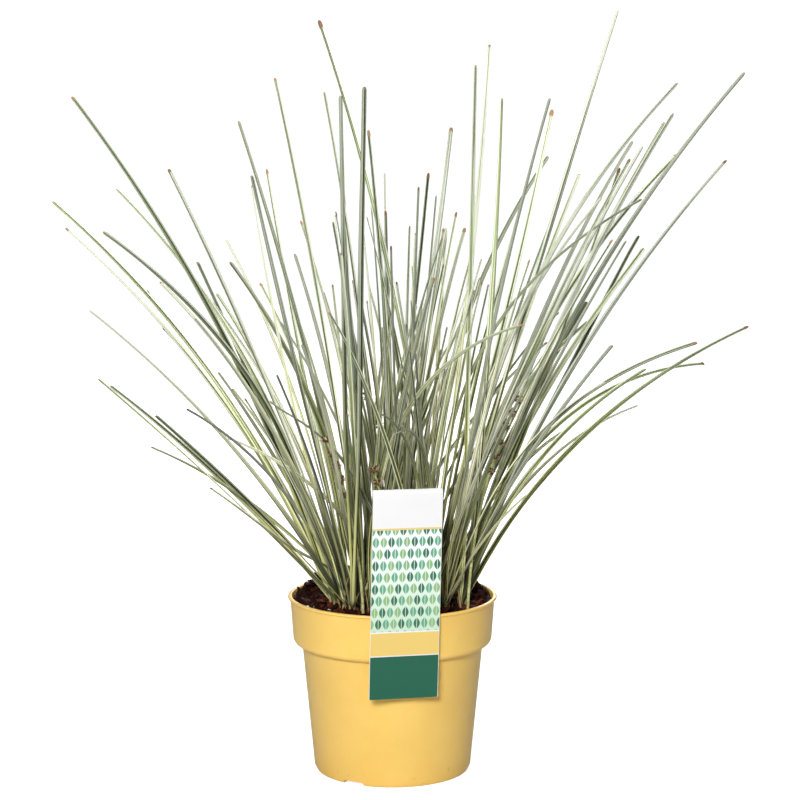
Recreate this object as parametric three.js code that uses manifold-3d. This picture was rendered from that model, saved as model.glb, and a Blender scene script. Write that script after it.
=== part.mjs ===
// Potted spiny-head mat rush: a variegated grass tussock in a 17 cm yellow nursery pot.
// Units are millimetres, +Z is up, and the origin is on the pot's axis at the surface it stands on.
// The front of the plant, where its label hangs, looks along -Y.

import * as THREE from 'three';
import { mergeVertices } from 'three/addons/utils/BufferGeometryUtils.js';
import Module from 'manifold-3d';

const wasm = await Module();
wasm.setup();
const { Manifold, Mesh } = wasm;

// Driving dimensions of the pot, given as radii and heights
const LIP_RADIUS = 85;
const LIP_HEIGHT = 144.2;
const LIP_BEAD = 2.2;
const LIP_BEVEL = 0.6;
const COLLAR_TOP_RADIUS = 83.2;
const COLLAR_LOW_RADIUS = 80.9;
const COLLAR_LOW_HEIGHT = 110.5;
const SHOULDER_RADIUS = 5.6;
const SHOULDER_STEP = 3.4;
const BODY_TOP_RADIUS = 73.5;
const BODY_LOW_RADIUS = 63.9;
const BODY_LOW_HEIGHT = 4.2;
const FOOT_OUTER_RADIUS = 61.6;
const FOOT_INNER_RADIUS = 56.5;
const FOOT_RECESS = 3.2;
const WALL = 1.5;
const POT_SEGMENTS = 42;
const MIX_SEGMENTS = 30;
const NOTCH_COUNT = 3;
const NOTCH_WIDTH = 22;
const NOTCH_HEIGHT = 3;
const NOTCH_FIRST_ANGLE = -120;
const NOTCH_CUT_DEPTH = 16;
const DRAIN_HOLE_COUNT = 6;
const DRAIN_HOLE_RADIUS = 4.5;
const DRAIN_HOLE_CIRCLE = 42;

// Driving dimensions of the potting mix, heaped towards the back, and of its bark chips
const FIT_GAP = 0.35;
const MIX_TOP = 137;
const MIX_SLOPE = 0.085;
const CHIP_COUNT = 38;
const CHIP_SPACING = 10;
const CHIP_INSET = 5;
const CHIP_LENGTH = [9, 22];
const CHIP_WIDTH = [5, 10];
const CHIP_THICKNESS = [3, 5];
const CHIP_PINCH = [0.45, 0.9];
const CHIP_THINNING = 0.7;
const CHIP_ROLL = 0.5;
const CHIP_PITCH = 0.35;
const CHIP_RISE = [-0.5, 1.6];
const EDGE_CHIP_RISE = [0.5, 4];
const EDGE_RADIUS = 62;
const HEAP_OVER_LIP = 5;

// Driving dimensions of the label card, folded over the rim
const LABEL_WIDTH = 55.4;
const LABEL_LEG_WIDTH = 36;
const LABEL_THICKNESS = 0.9;
const LABEL_TURN = 13;
const LABEL_OFFSET = -9.5;
const LABEL_LEAN = 0.4;
const LABEL_SLOT_FLARE = 1.6;
const LABEL_SLOT_TOP = 158;
const LABEL_KEEP_OUT = { low: [-82, 150], high: [-91, 254], drift: 1, radius: 8, rows: 7 };

// Driving dimensions of the shoots and their blades
const STUB_FOOT = 121;
const STUB_SHOULDER = 139;
const STUB_TOP = 150;
const STUB_TOP_SHARE = 0.72;
const STUB_HOLE_SHOULDER = 150;
const STUB_HOLE_TOP = 170;
const STUB_LONG_RADIUS = 4.4;
const STUB_SHORT_RADIUS = 2.8;
const STUB_SIDES = 6;
const BLADE_ROOT = 142;
const BLADE_HALF_WIDTH = 2.3;
const BLADE_DEPTH = 1.05;
const THINNEST_SHARE = 0.65;
const BLADE_STATIONS = [0, 0.15, 0.37, 0.62, 0.88, 0.985, 1];
const BLADE_TAPER = [1.05, 1.05, 1, 0.9, 0.7, 0.46, 0];
const BLADES_PER_SHOOT = 6;
const ROOT_STEP = 1.2;
const TWIST_SHARES = [0, 0.22, 0.45, 0.7, 0.94, 1, 1];
const LONGEST_BLADE = 480;

const UP = new THREE.Vector3(0, 0, 1);

const materials = {
  pot: new THREE.MeshStandardMaterial({ color: 0xf2cb70, roughness: 0.55, metalness: 0 }),
  mix: new THREE.MeshStandardMaterial({ color: 0x3a2019, roughness: 0.95, metalness: 0 }),
  leaf: new THREE.MeshStandardMaterial({ color: 0x93a578, roughness: 0.6, metalness: 0 }),
  spike: new THREE.MeshStandardMaterial({ color: 0x7a4630, roughness: 0.8, metalness: 0 }),
  label: new THREE.MeshStandardMaterial({ color: 0xf4f4f0, roughness: 0.35, metalness: 0 }),
};

// Seeded draws, so that each run gives the same plant
function seededDraws(seed) {
  let state = seed >>> 0;
  return () => {
    state = (state + 0x6d2b79f5) >>> 0;
    let mixed = Math.imul(state ^ (state >>> 15), state | 1);
    mixed = (mixed + Math.imul(mixed ^ (mixed >>> 7), mixed | 61)) ^ mixed;
    return ((mixed ^ (mixed >>> 14)) >>> 0) / 4294967296;
  };
}

function between(draw, low, high) {
  return low + (high - low) * draw();
}

// Closed meshes become solids for cutting and joining, and come back as geometry
function solidOf(geometry) {
  const bare = geometry.clone();
  bare.deleteAttribute('normal');
  bare.deleteAttribute('uv');
  const merged = mergeVertices(bare, 1e-4);
  return new Manifold(new Mesh({
    numProp: 3,
    vertProperties: Float32Array.from(merged.attributes.position.array),
    triVerts: Uint32Array.from(merged.index.array),
  }));
}

function geometryOf(solid) {
  const mesh = solid.getMesh();
  const geometry = new THREE.BufferGeometry();
  geometry.setAttribute('position', new THREE.BufferAttribute(mesh.vertProperties, 3));
  geometry.setIndex(new THREE.BufferAttribute(mesh.triVerts, 1));
  geometry.computeVertexNormals();
  return geometry;
}

// The outer body alone: a hollow that joining seals is filled, a loose scrap is dropped,
// and edges too short to see are closed up
const SHORTEST_EDGE = 0.03;

// How far a solid's skin is from folding onto itself: its thinnest triangle's height or its
// two nearest corners' distance, and 0 where four faces share one edge
function leastDetail(solid) {
  const { numProp, vertProperties, triVerts } = solid.getMesh();
  const corners = [];
  for (let start = 0; start < vertProperties.length; start += numProp) {
    corners.push(new THREE.Vector3().fromArray(vertProperties, start));
  }
  let least = Infinity;
  corners.forEach((corner, index) => {
    for (const other of corners.slice(index + 1)) least = Math.min(least, corner.distanceTo(other));
  });
  const edges = new Set();
  for (let start = 0; start < triVerts.length; start += 3) {
    const ids = [0, 1, 2].map((step) => triVerts[start + step]);
    const [a, b, c] = ids.map((id) => corners[id]);
    const longest = Math.max(a.distanceTo(b), b.distanceTo(c), c.distanceTo(a));
    const doubleArea = b.clone().sub(a).cross(c.clone().sub(a)).length();
    least = Math.min(least, doubleArea / longest);
    ids.forEach((id, step) => edges.add(`${id} ${ids[(step + 1) % 3]}`));
  }
  return edges.size < triVerts.length ? 0 : least;
}

function largestBody(solid, shortest = SHORTEST_EDGE) {
  const bodies = solid.asOriginal().simplify(shortest).decompose();
  return bodies.reduce((best, body) => (body.volume() > best.volume() ? body : best));
}

function lathe(outline, segments) {
  const points = outline.map(([radius, height]) => new THREE.Vector2(radius, height));
  const geometry = new THREE.LatheGeometry(points, segments);
  geometry.rotateX(Math.PI / 2);
  return solidOf(geometry);
}

function namedMesh(name, solid, material) {
  const mesh = new THREE.Mesh(geometryOf(solid), material);
  mesh.name = name;
  return mesh;
}

// How far the sloping top of the mix stands over its middle at a depth
function riseAt(y) {
  return MIX_SLOPE * y;
}

// Radius of the pot's inner wall at a height
function innerRadius(height) {
  const collarLow = COLLAR_LOW_RADIUS - WALL;
  const collarTop = COLLAR_TOP_RADIUS - WALL;
  const rise = (height - COLLAR_LOW_HEIGHT) / (LIP_HEIGHT - COLLAR_LOW_HEIGHT);
  return collarLow + (collarTop - collarLow) * rise;
}

// The shoulder under the collar is a quarter round, outside and inside
function shoulderArc(radius, height, size, steps) {
  const arc = [];
  for (let step = 0; step <= steps; step += 1) {
    const angle = (Math.PI / 2) * (step / steps);
    arc.push([radius - size + size * Math.sin(angle), height - size * Math.cos(angle)]);
  }
  return arc;
}

function makePot() {
  const shoulderTop = COLLAR_LOW_HEIGHT;
  const shoulderLow = shoulderTop - SHOULDER_RADIUS;
  const beadLow = LIP_HEIGHT - LIP_BEAD;
  const outside = [
    [FOOT_INNER_RADIUS, 0],
    [FOOT_OUTER_RADIUS - 1, 0],
    [FOOT_OUTER_RADIUS + 0.9, 0.8],
    [BODY_LOW_RADIUS, BODY_LOW_HEIGHT],
    [BODY_TOP_RADIUS, shoulderLow],
    ...shoulderArc(COLLAR_LOW_RADIUS, shoulderTop, SHOULDER_RADIUS, 3),
    [COLLAR_TOP_RADIUS, beadLow],
    [LIP_RADIUS, beadLow + LIP_BEVEL],
    [LIP_RADIUS, LIP_HEIGHT - LIP_BEVEL],
    [LIP_RADIUS - LIP_BEVEL, LIP_HEIGHT],
  ];
  const inside = [
    [COLLAR_TOP_RADIUS - WALL, LIP_HEIGHT],
    [COLLAR_LOW_RADIUS - WALL, shoulderTop],
    [COLLAR_LOW_RADIUS - WALL - SHOULDER_STEP, shoulderLow + WALL + 0.4],
    [BODY_TOP_RADIUS - WALL, shoulderLow],
    [BODY_LOW_RADIUS - WALL, BODY_LOW_HEIGHT + WALL + 1],
    [BODY_LOW_RADIUS - WALL - 2, FOOT_RECESS + WALL],
    [0, FOOT_RECESS + WALL],
    [0, FOOT_RECESS],
    [FOOT_INNER_RADIUS, FOOT_RECESS],
    [FOOT_INNER_RADIUS, 0],
  ];
  let pot = lathe([...outside, ...inside], POT_SEGMENTS);
  for (let index = 0; index < NOTCH_COUNT; index += 1) {
    const notch = new THREE.Shape([
      new THREE.Vector2(-NOTCH_WIDTH / 2, -1),
      new THREE.Vector2(NOTCH_WIDTH / 2, -1),
      new THREE.Vector2(NOTCH_WIDTH / 2 - NOTCH_HEIGHT, NOTCH_HEIGHT),
      new THREE.Vector2(NOTCH_HEIGHT - NOTCH_WIDTH / 2, NOTCH_HEIGHT),
    ]);
    const cutter = new THREE.ExtrudeGeometry(notch, { depth: NOTCH_CUT_DEPTH, bevelEnabled: false });
    cutter.rotateX(Math.PI / 2);
    cutter.translate(0, FOOT_OUTER_RADIUS + 6, 0);
    const angle = NOTCH_FIRST_ANGLE + (360 / NOTCH_COUNT) * index;
    cutter.rotateZ(THREE.MathUtils.degToRad(angle - 90));
    pot = pot.subtract(solidOf(cutter));
  }
  for (let index = 0; index < DRAIN_HOLE_COUNT; index += 1) {
    const drill = new THREE.CylinderGeometry(DRAIN_HOLE_RADIUS, DRAIN_HOLE_RADIUS, 8, 10);
    drill.rotateX(Math.PI / 2);
    drill.translate(DRAIN_HOLE_CIRCLE, 0, FOOT_RECESS);
    drill.rotateZ((Math.PI * 2 * index) / DRAIN_HOLE_COUNT);
    pot = pot.subtract(solidOf(drill));
  }
  return largestBody(pot);
}

// The card's section is a strip of even thickness along a bent line, as offset y and height z
function stripOutline(line, thickness) {
  const left = [];
  const right = [];
  line.forEach(([y, z], index) => {
    const before = line[Math.max(index - 1, 0)];
    const after = line[Math.min(index + 1, line.length - 1)];
    const inward = new THREE.Vector2(y - before[0], z - before[1]);
    const outward = new THREE.Vector2(after[0] - y, after[1] - z);
    const first = inward.lengthSq() > 0 ? inward.normalize() : outward.clone().normalize();
    const second = outward.lengthSq() > 0 ? outward.normalize() : first.clone();
    const along = first.clone().add(second).normalize();
    const reach = thickness / 2 / Math.max(first.dot(along), 0.5);
    left.push(new THREE.Vector2(y - along.y * reach, z + along.x * reach));
    right.push(new THREE.Vector2(y + along.y * reach, z - along.x * reach));
  });
  return new THREE.Shape([...left, ...right.reverse()]);
}

const LABEL_FRONT_LINE = [[-81.9, 78.4], [-86.6, 146], [-93.3, 242.6], [-92.6, 245.7], [-91.2, 246]];
const LABEL_LEG_LINE = [[-91.8, 246], [-90, 242.6], [-73.4, 146], [-72.2, 114]];

function labelStrip(line, width, thickness) {
  const outline = stripOutline(line, thickness);
  const strip = new THREE.ExtrudeGeometry(outline, { depth: width, bevelEnabled: false });
  const yzx = new THREE.Matrix4().set(0, 0, 1, -width / 2, 1, 0, 0, 0, 0, 1, 0, 0, 0, 0, 0, 1);
  strip.applyMatrix4(yzx);
  strip.translate(LABEL_OFFSET, 0, -LIP_HEIGHT);
  strip.rotateY(THREE.MathUtils.degToRad(LABEL_LEAN));
  strip.translate(0, 0, LIP_HEIGHT);
  strip.rotateZ(THREE.MathUtils.degToRad(LABEL_TURN));
  return solidOf(strip);
}

function makeLabel() {
  const front = labelStrip(LABEL_FRONT_LINE, LABEL_WIDTH, LABEL_THICKNESS);
  const leg = labelStrip(LABEL_LEG_LINE, LABEL_LEG_WIDTH, LABEL_THICKNESS);
  return largestBody(front.add(leg));
}

// The slot that the card's leg stands in
function labelSlot() {
  const [top, bottom] = LABEL_LEG_LINE.slice(-2);
  const line = [[top[0] - LABEL_SLOT_FLARE, LABEL_SLOT_TOP], top, [bottom[0], bottom[1] - FIT_GAP]];
  return labelStrip(line, LABEL_LEG_WIDTH + 2 * FIT_GAP, LABEL_THICKNESS + 2 * FIT_GAP);
}

// Three clumps of shoots; in each, the shoots stand on a spiral at even spacing
const CLUMPS = {
  left: { x: -29, y: -14, turn: 14, shoots: 11 },
  right: { x: 38, y: -10, turn: 40, shoots: 12 },
  middle: { x: 5, y: 27, turn: 20, shoots: 8 },
};
const SPIRAL_STEP = 6.2;
const GOLDEN_ANGLE = 137.5;

function makeShoots() {
  const shoots = [];
  for (const [clump, { x, y, turn, shoots: count }] of Object.entries(CLUMPS)) {
    for (let index = 0; index < count; index += 1) {
      const bearing = turn + GOLDEN_ANGLE * index;
      const angle = THREE.MathUtils.degToRad(bearing);
      const radius = SPIRAL_STEP * Math.sqrt(index + 0.5);
      const place = { x: x + radius * Math.cos(angle), y: y + radius * Math.sin(angle) };
      shoots.push({ clump, ...place, rise: riseAt(place.y), fan: bearing + 90, blades: [] });
    }
  }
  return shoots;
}

function stubSolid(shoot, extra, foot, shoulder, top) {
  const topShare = extra > 0 ? 1 : STUB_TOP_SHARE;
  const stub = lathe([[0, foot], [1, foot], [1, shoulder], [topShare, top], [0, top]], STUB_SIDES);
  const turned = new THREE.Matrix4().makeRotationZ(THREE.MathUtils.degToRad(shoot.fan));
  const shaped = new THREE.Matrix4().makeScale(STUB_LONG_RADIUS + extra, STUB_SHORT_RADIUS + extra, 1);
  const placed = new THREE.Matrix4().makeTranslation(shoot.x, shoot.y, shoot.rise);
  return stub.transform(placed.multiply(turned).multiply(shaped).toArray());
}

// Blade tips seen from the front, as [x, z] in the plane of the pot's axis, with the arch
// where it isn't the usual one, a depth where it has to be a given one, and the x of the
// foot where the blade is seen to rise from there
const EYE = { x: 6, y: -1923, z: 562 };
const USUAL_ARCH = 0.035;
const GREATEST_DEPTH = 230;
const DEPTH_SHARE = [0.15, 0.85];
const SEEN_TIPS = {
  left: [
    { tip: [-254, 546], arch: 0.046 }, { tip: [-271, 463], arch: 0.065, depth: 40 },
    { tip: [-261, 442], arch: 0.058, depth: -50 }, { tip: [-231, 439], arch: 0.1 },
    { tip: [-220, 473], arch: 0.08 }, { tip: [-178, 489], arch: 0.02 },
    { tip: [-122, 527], arch: 0.018 }, { tip: [-93, 561], arch: 0.026 },
    { tip: [-100, 489], arch: -0.015 }, { tip: [-112, 476], arch: -0.027 },
    { tip: [-133, 433], arch: 0.063 }, { tip: [-130, 415], arch: 0.07 },
    { tip: [-156, 415], arch: 0.005 }, { tip: [-186, 399], arch: 0.07 }, { tip: [-197, 392] },
    { tip: [-243, 376], arch: 0.045 }, { tip: [-106, 398], arch: 0.09 },
    { tip: [-237, 321], arch: 0.01 }, { tip: [-227, 315], arch: 0.03 },
    { tip: [-191, 291], arch: 0.015 }, { tip: [-195, 265], arch: 0.07 },
    { tip: [-148, 232], arch: 0.02 }, { tip: [-140, 326] }, { tip: [-119, 305] },
    { tip: [-93, 324], depth: -244 }, { tip: [-41, 547], arch: -0.02, foot: -44 },
    { tip: [-40, 512], arch: 0 }, { tip: [-41, 422] }, { tip: [-48, 397] },
    { tip: [-22, 554], arch: -0.03, foot: -30 }, { tip: [29, 486], arch: -0.02, foot: -24 },
    { tip: [47, 522], arch: -0.02, foot: -22 }, { tip: [-47, 316] },
    { tip: [-112, 484], arch: -0.01 },
  ],
  middle: [
    { tip: [-54, 550], arch: 0.02 }, { tip: [-19, 520], arch: 0.02 },
    { tip: [-6, 486], arch: 0.02 }, { tip: [21, 475], arch: -0.02 }, { tip: [35, 468], arch: 0 },
    { tip: [41, 442], arch: 0.02 }, { tip: [14, 444], arch: 0 }, { tip: [-25, 455] },
    { tip: [-17, 462] }, { tip: [-1, 428] }, { tip: [124, 499], arch: 0.088 }, { tip: [41, 413] },
    { tip: [-31, 393] }, { tip: [-8, 391] }, { tip: [21, 325] }, { tip: [30, 283] },
    { tip: [44, 363] },
  ],
  right: [
    { tip: [-58, 606], arch: 0.03, foot: 36 }, { tip: [66, 571], arch: 0, foot: 55 },
    { tip: [77, 587], arch: -0.015, foot: 22 }, { tip: [87, 545], arch: -0.02, foot: 56 },
    { tip: [178, 614], arch: 0.005 }, { tip: [226, 557], arch: 0.094 },
    { tip: [279, 565], arch: 0.056 }, { tip: [223, 533] }, { tip: [216, 526] },
    { tip: [266, 496], arch: 0.05 }, { tip: [226, 500], arch: 0.087 }, { tip: [189, 497] },
    { tip: [181, 490], arch: -0.015 }, { tip: [199, 465], arch: 0.18 },
    { tip: [167, 466], arch: 0.1 }, { tip: [149, 485], depth: 246 }, { tip: [127, 536], arch: -0.012 },
    { tip: [125, 545] }, { tip: [197, 436], arch: 0 }, { tip: [187, 432], arch: 0.02 },
    { tip: [201, 426], arch: 0.05 }, { tip: [176, 433] }, { tip: [130, 456] }, { tip: [144, 426] },
    { tip: [286, 363], arch: 0.09, depth: -35 }, { tip: [245, 350], arch: 0.15 },
    { tip: [251, 333], arch: 0.16 }, { tip: [204, 329], arch: 0.085 },
    { tip: [198, 299], arch: 0.105 }, { tip: [177, 348] },
    { tip: [142, 280], arch: 0.09 }, { tip: [109, 226], arch: 0.04 }, { tip: [156, 383] },
    { tip: [72, 399] }, { tip: [77, 397] }, { tip: [62, 360] }, { tip: [87, 399] },
    { tip: [55, 318] }, { tip: [77, 319], depth: -236 }, { tip: [119, 344] },
    { tip: [106, 470] }, { tip: [110, 417] }, { tip: [191, 511], arch: 0.06 }, { tip: [199, 507] },
    { tip: [141, 397] },
  ],
};

// A tip that is seen at one place from the front stays on its sight line at any depth
function alongSight([x, z], depth) {
  const scale = (depth - EYE.y) / -EYE.y;
  return new THREE.Vector3(EYE.x + (x - EYE.x) * scale, depth, EYE.z + (z - EYE.z) * scale);
}

function seenBlades(draw) {
  const blades = [];
  for (const [clump, list] of Object.entries(SEEN_TIPS)) {
    const { x: rootX, y: rootY } = CLUMPS[clump];
    list.forEach(({ tip, arch = USUAL_ARCH, depth, foot }, index) => {
      const seen = Math.hypot(tip[0] - rootX, tip[1] - BLADE_ROOT);
      const spare = Math.sqrt(Math.max(LONGEST_BLADE ** 2 - seen ** 2, 0));
      const side = index % 2 === 0 ? 1 : -1;
      const drawn = rootY + side * Math.min(spare, GREATEST_DEPTH) * between(draw, ...DEPTH_SHARE);
      blades.push({ clump, tip: alongSight(tip, depth ?? drawn), arch, foot });
    });
  }
  return blades;
}

// The blades that fill the tussock, front and back, where the front view can't tell them apart
const FILLING = { left: 29, right: 26, middle: 24 };
const FILLING_REACH = 222;
const FILLING_LENGTH = [200, 330];
const FILLING_FAN = 60;
const LEAST_LEAN = [4, 12];
const LEAN_SPREAD = 42;
const LEAN_POWER = 1.3;
const FILLING_ARCH = [0.02, 0.05];
const FILLING_DROOP = 0.08;
const OVER_CARD = { halfAngle: 25, arch: 0.2 };

// Whether a straight blade to this tip would run into the card
function meetsCard(clump, tip) {
  const { x, y } = CLUMPS[clump];
  const turn = THREE.MathUtils.degToRad(LABEL_TURN);
  const [front, top] = LABEL_KEEP_OUT.high;
  const toCard = new THREE.Vector3(LABEL_OFFSET, front, 0).applyAxisAngle(UP, turn);
  toCard.sub(new THREE.Vector3(x, y, 0));
  const toTip = new THREE.Vector3(tip.x - x, tip.y - y, 0);
  const share = toCard.length() / Math.max(toTip.length(), 1);
  const height = BLADE_ROOT + (tip.z - BLADE_ROOT) * share;
  const apart = THREE.MathUtils.radToDeg(toCard.angleTo(toTip));
  return share < 1 && height < top && apart < OVER_CARD.halfAngle;
}

function fillingBlades(draw) {
  const blades = [];
  for (const [clump, count] of Object.entries(FILLING)) {
    const { x, y } = CLUMPS[clump];
    for (let index = 0; index < count; index += 1) {
      const facing = index % 2 === 0 ? 90 : -90;
      const bearing = THREE.MathUtils.degToRad(facing + between(draw, -FILLING_FAN, FILLING_FAN));
      const leanBase = between(draw, ...LEAST_LEAN);
      const lean = THREE.MathUtils.degToRad(leanBase + LEAN_SPREAD * draw() ** LEAN_POWER);
      const length = Math.min(between(draw, ...FILLING_LENGTH), FILLING_REACH / Math.sin(lean));
      const reach = length * Math.sin(lean);
      const tip = new THREE.Vector3(
        x + reach * Math.cos(bearing),
        y + reach * Math.sin(bearing),
        BLADE_ROOT + length * Math.cos(lean),
      );
      const usual = between(draw, ...FILLING_ARCH) + FILLING_DROOP * Math.sin(lean) ** 2;
      blades.push({ clump, tip, arch: meetsCard(clump, tip) ? OVER_CARD.arch : usual });
    }
  }
  return blades;
}

// Each blade goes to the shoot of its clump that stands on the side it leans to; blades with
// a foot of their own choose first, and then those that reach furthest
const OUTER_REACH = 150;

function shareOut(blades, shoots) {
  const reachOf = (blade) => {
    const { x, y } = CLUMPS[blade.clump];
    return Math.hypot(blade.tip.x - x, blade.tip.y - y);
  };
  const ordered = blades.map((blade, index) => ({ blade, index, reach: reachOf(blade) }));
  const hasFoot = ({ blade }) => (blade.foot === undefined ? 0 : 1);
  ordered.sort((a, b) => hasFoot(b) - hasFoot(a) || b.reach - a.reach || a.index - b.index);
  for (const { blade, reach } of ordered) {
    const centre = CLUMPS[blade.clump];
    const clumpRadius = SPIRAL_STEP * Math.sqrt(centre.shoots - 0.5);
    const pull = (clumpRadius * Math.min(reach / OUTER_REACH, 1)) / Math.max(reach, 1);
    const wantX = blade.foot ?? centre.x + (blade.tip.x - centre.x) * pull;
    const wantY = centre.y + (blade.tip.y - centre.y) * pull;
    const free = shoots.filter(
      (shoot) => shoot.clump === blade.clump && shoot.blades.length < BLADES_PER_SHOOT,
    );
    const away = (shoot) => Math.hypot(shoot.x - wantX, shoot.y - wantY);
    const nearest = free.reduce((best, shoot) => (away(shoot) < away(best) - 1e-6 ? shoot : best));
    nearest.blades.push(blade);
  }
}

// A blade rises from its shoot and arches out along a quadratic curve
function arching(root, tip, arch) {
  const chord = tip.clone().sub(root);
  const length = chord.length();
  const along = chord.clone().normalize();
  const lift = UP.clone().addScaledVector(along, -UP.dot(along)).normalize();
  const bend = root.clone().addScaledVector(chord, 0.5).addScaledVector(lift, 2 * arch * length);
  return new THREE.QuadraticBezierCurve3(root, bend, tip);
}

// The blades of a shoot stand in a flat stack, sorted by the way they lean, and twist as they rise
const OWN_TWIST = 42;
const WIDTH_SPREAD = [0.65, 1.2];
const SHORT_BLADE = { length: 280, width: 0.85 };

function layOut(shoot, draw) {
  const angle = THREE.MathUtils.degToRad(shoot.fan);
  const stack = new THREE.Vector3(Math.cos(angle), Math.sin(angle), 0);
  const middle = new THREE.Vector3(shoot.x, shoot.y, BLADE_ROOT + shoot.rise);
  for (const blade of shoot.blades) {
    const start = arching(middle, blade.tip, blade.arch).getTangent(0);
    blade.slope = start.dot(stack) / start.z;
  }
  shoot.blades.sort((one, two) => one.slope - two.slope);
  shoot.blades.forEach((blade, index) => {
    const place = ROOT_STEP * (index - (shoot.blades.length - 1) / 2);
    const root = middle.clone().addScaledVector(stack, place);
    const curve = arching(root, blade.tip, blade.arch);
    const lean = new THREE.Vector3(blade.tip.x - root.x, blade.tip.y - root.y, 0).normalize();
    blade.points = BLADE_STATIONS.map((station) => curve.getPoint(station));
    blade.side = new THREE.Vector3(-stack.y, stack.x, 0);
    const settled = new THREE.Vector3(-lean.y, lean.x, 0);
    if (settled.dot(blade.side) < 0) blade.side.negate();
    const swing = Math.asin(THREE.MathUtils.clamp(blade.side.clone().cross(settled).z, -1, 1));
    const own = THREE.MathUtils.degToRad(between(draw, 0, OWN_TWIST) * (draw() < 0.5 ? -1 : 1));
    blade.twist = swing + own;
    const small = curve.getLength() < SHORT_BLADE.length ? SHORT_BLADE.width : 1;
    blade.width = BLADE_HALF_WIDTH * between(draw, ...WIDTH_SPREAD) * small;
  });
}

// Flower spikes: a stalk with whorls of spiny bracts, lower and shorter than the blades
const SPIKES = [
  { root: [-23, -40], top: [-52, -74, 284], whorls: 5 },
  { root: [2, -24], top: [-15, -58, 258], whorls: 4 },
  { root: [60, -35], top: [99, -62, 314], whorls: 6 },
  { root: [12, 48], top: [-22, 92, 296], whorls: 5 },
];
const STALK_RADIUS = 1.35;
const STALK_SHARES = [0, 0.1, 0.3, 0.48];
const STALK_BEND_SHARE = 0.55;
const STALK_HOLE = { above: 1.2, below: 0.5, depth: 50, foot: STUB_FOOT - 0.6 };
const WHORL_SPACING = 13;
const BRACTS_PER_WHORL = 5;
const BRACT_RISE = 0.5;
const BRACT_LENGTH = 8;
const BRACT_SPREAD = [0.75, 1];
const WHORL_RADIUS = 3;
const WHORL_HALF_HEIGHT = 2.6;

function spikeCurve({ root, top }) {
  const foot = new THREE.Vector3(root[0], root[1], STUB_FOOT + riseAt(root[1]));
  const tip = new THREE.Vector3(...top);
  const bend = new THREE.Vector3(foot.x, foot.y, foot.z + (tip.z - foot.z) * STALK_BEND_SHARE);
  return new THREE.QuadraticBezierCurve3(foot, bend, tip);
}

function whorlShares(spike, curve) {
  const length = curve.getLength();
  return Array.from({ length: spike.whorls }, (unused, index) => (
    1 - (WHORL_HALF_HEIGHT + WHORL_SPACING * index) / length
  ));
}

// One ring of the spike's skin: bract tips stand out and up between the swollen valleys
function spikeRing(at, along, tipReach, valleyReach, turn) {
  const across = new THREE.Vector3(1, 0, 0).addScaledVector(along, -along.x).normalize();
  const corners = BRACTS_PER_WHORL * 2;
  return Array.from({ length: corners }, (unused, corner) => {
    const out = across.clone().applyAxisAngle(along, turn + (Math.PI * 2 * corner) / corners);
    const reach = corner % 2 === 0 ? tipReach : valleyReach;
    const rise = (reach - STALK_RADIUS) * BRACT_RISE;
    return at.clone().addScaledVector(out, reach).addScaledVector(along, rise);
  });
}

// The spike's skin runs up the stalk from ring to ring and swells at each whorl
function makeSpike(spike, draw) {
  const curve = spikeCurve(spike);
  const turn = between(draw, 0, Math.PI);
  const rings = [];
  const addRing = (share, tipReach, valleyReach) => {
    rings.push(spikeRing(curve.getPointAt(share), curve.getTangentAt(share), tipReach, valleyReach, turn));
  };
  for (const share of STALK_SHARES) addRing(share, STALK_RADIUS, STALK_RADIUS);
  for (const share of whorlShares(spike, curve).reverse()) {
    const step = WHORL_HALF_HEIGHT / curve.getLength();
    addRing(share - step, STALK_RADIUS, STALK_RADIUS);
    addRing(share, BRACT_LENGTH * between(draw, ...BRACT_SPREAD), WHORL_RADIUS);
    addRing(Math.min(share + step, 1), STALK_RADIUS, STALK_RADIUS);
  }
  const corners = BRACTS_PER_WHORL * 2;
  const index = [];
  for (let corner = 0; corner < corners; corner += 1) {
    const next = (corner + 1) % corners;
    for (let ring = 0; ring + 1 < rings.length; ring += 1) {
      const low = ring * corners;
      const high = low + corners;
      index.push(low + corner, low + next, high + next, low + corner, high + next, high + corner);
    }
    const top = (rings.length - 1) * corners;
    if (corner > 1) index.push(0, corner, corner - 1, top, top + corner - 1, top + corner);
  }
  const geometry = new THREE.BufferGeometry().setFromPoints(rings.flat());
  geometry.setIndex(index);
  return solidOf(geometry);
}

// Everything that a blade has to pass clear of, as capsules with a node's name each
const CLEARANCE = 0.3;
const STALK_ROWS = 6;

function bladeRadii(blade) {
  return BLADE_TAPER.map((taper) => Math.max(blade.width * taper, 0.5) + CLEARANCE / 2);
}

function obstacleCapsules() {
  const capsules = [];
  SPIKES.forEach((spike, index) => {
    const node = `spike ${index}`;
    const curve = spikeCurve(spike);
    const line = curve.getPoints(STALK_ROWS);
    for (let step = 0; step < STALK_ROWS; step += 1) {
      capsules.push({ node, from: line[step], to: line[step + 1], radius: STALK_RADIUS + CLEARANCE });
    }
    for (const share of whorlShares(spike, curve)) {
      const from = curve.getPointAt(share);
      const to = from.clone().addScaledVector(curve.getTangentAt(share), BRACT_LENGTH * BRACT_RISE);
      capsules.push({ node, from, to, radius: BRACT_LENGTH + CLEARANCE });
    }
  });
  const turn = THREE.MathUtils.degToRad(LABEL_TURN);
  const { low, high, drift, radius, rows } = LABEL_KEEP_OUT;
  for (let row = 0; row < rows; row += 1) {
    const across = LABEL_OFFSET + (row / (rows - 1) - 0.5) * LABEL_WIDTH;
    const from = new THREE.Vector3(across, ...low).applyAxisAngle(UP, turn);
    const to = new THREE.Vector3(across + drift, ...high).applyAxisAngle(UP, turn);
    capsules.push({ node: 'label', from, to, radius, way: new THREE.Vector3(0, 1, 0) });
  }
  return capsules;
}

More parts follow.
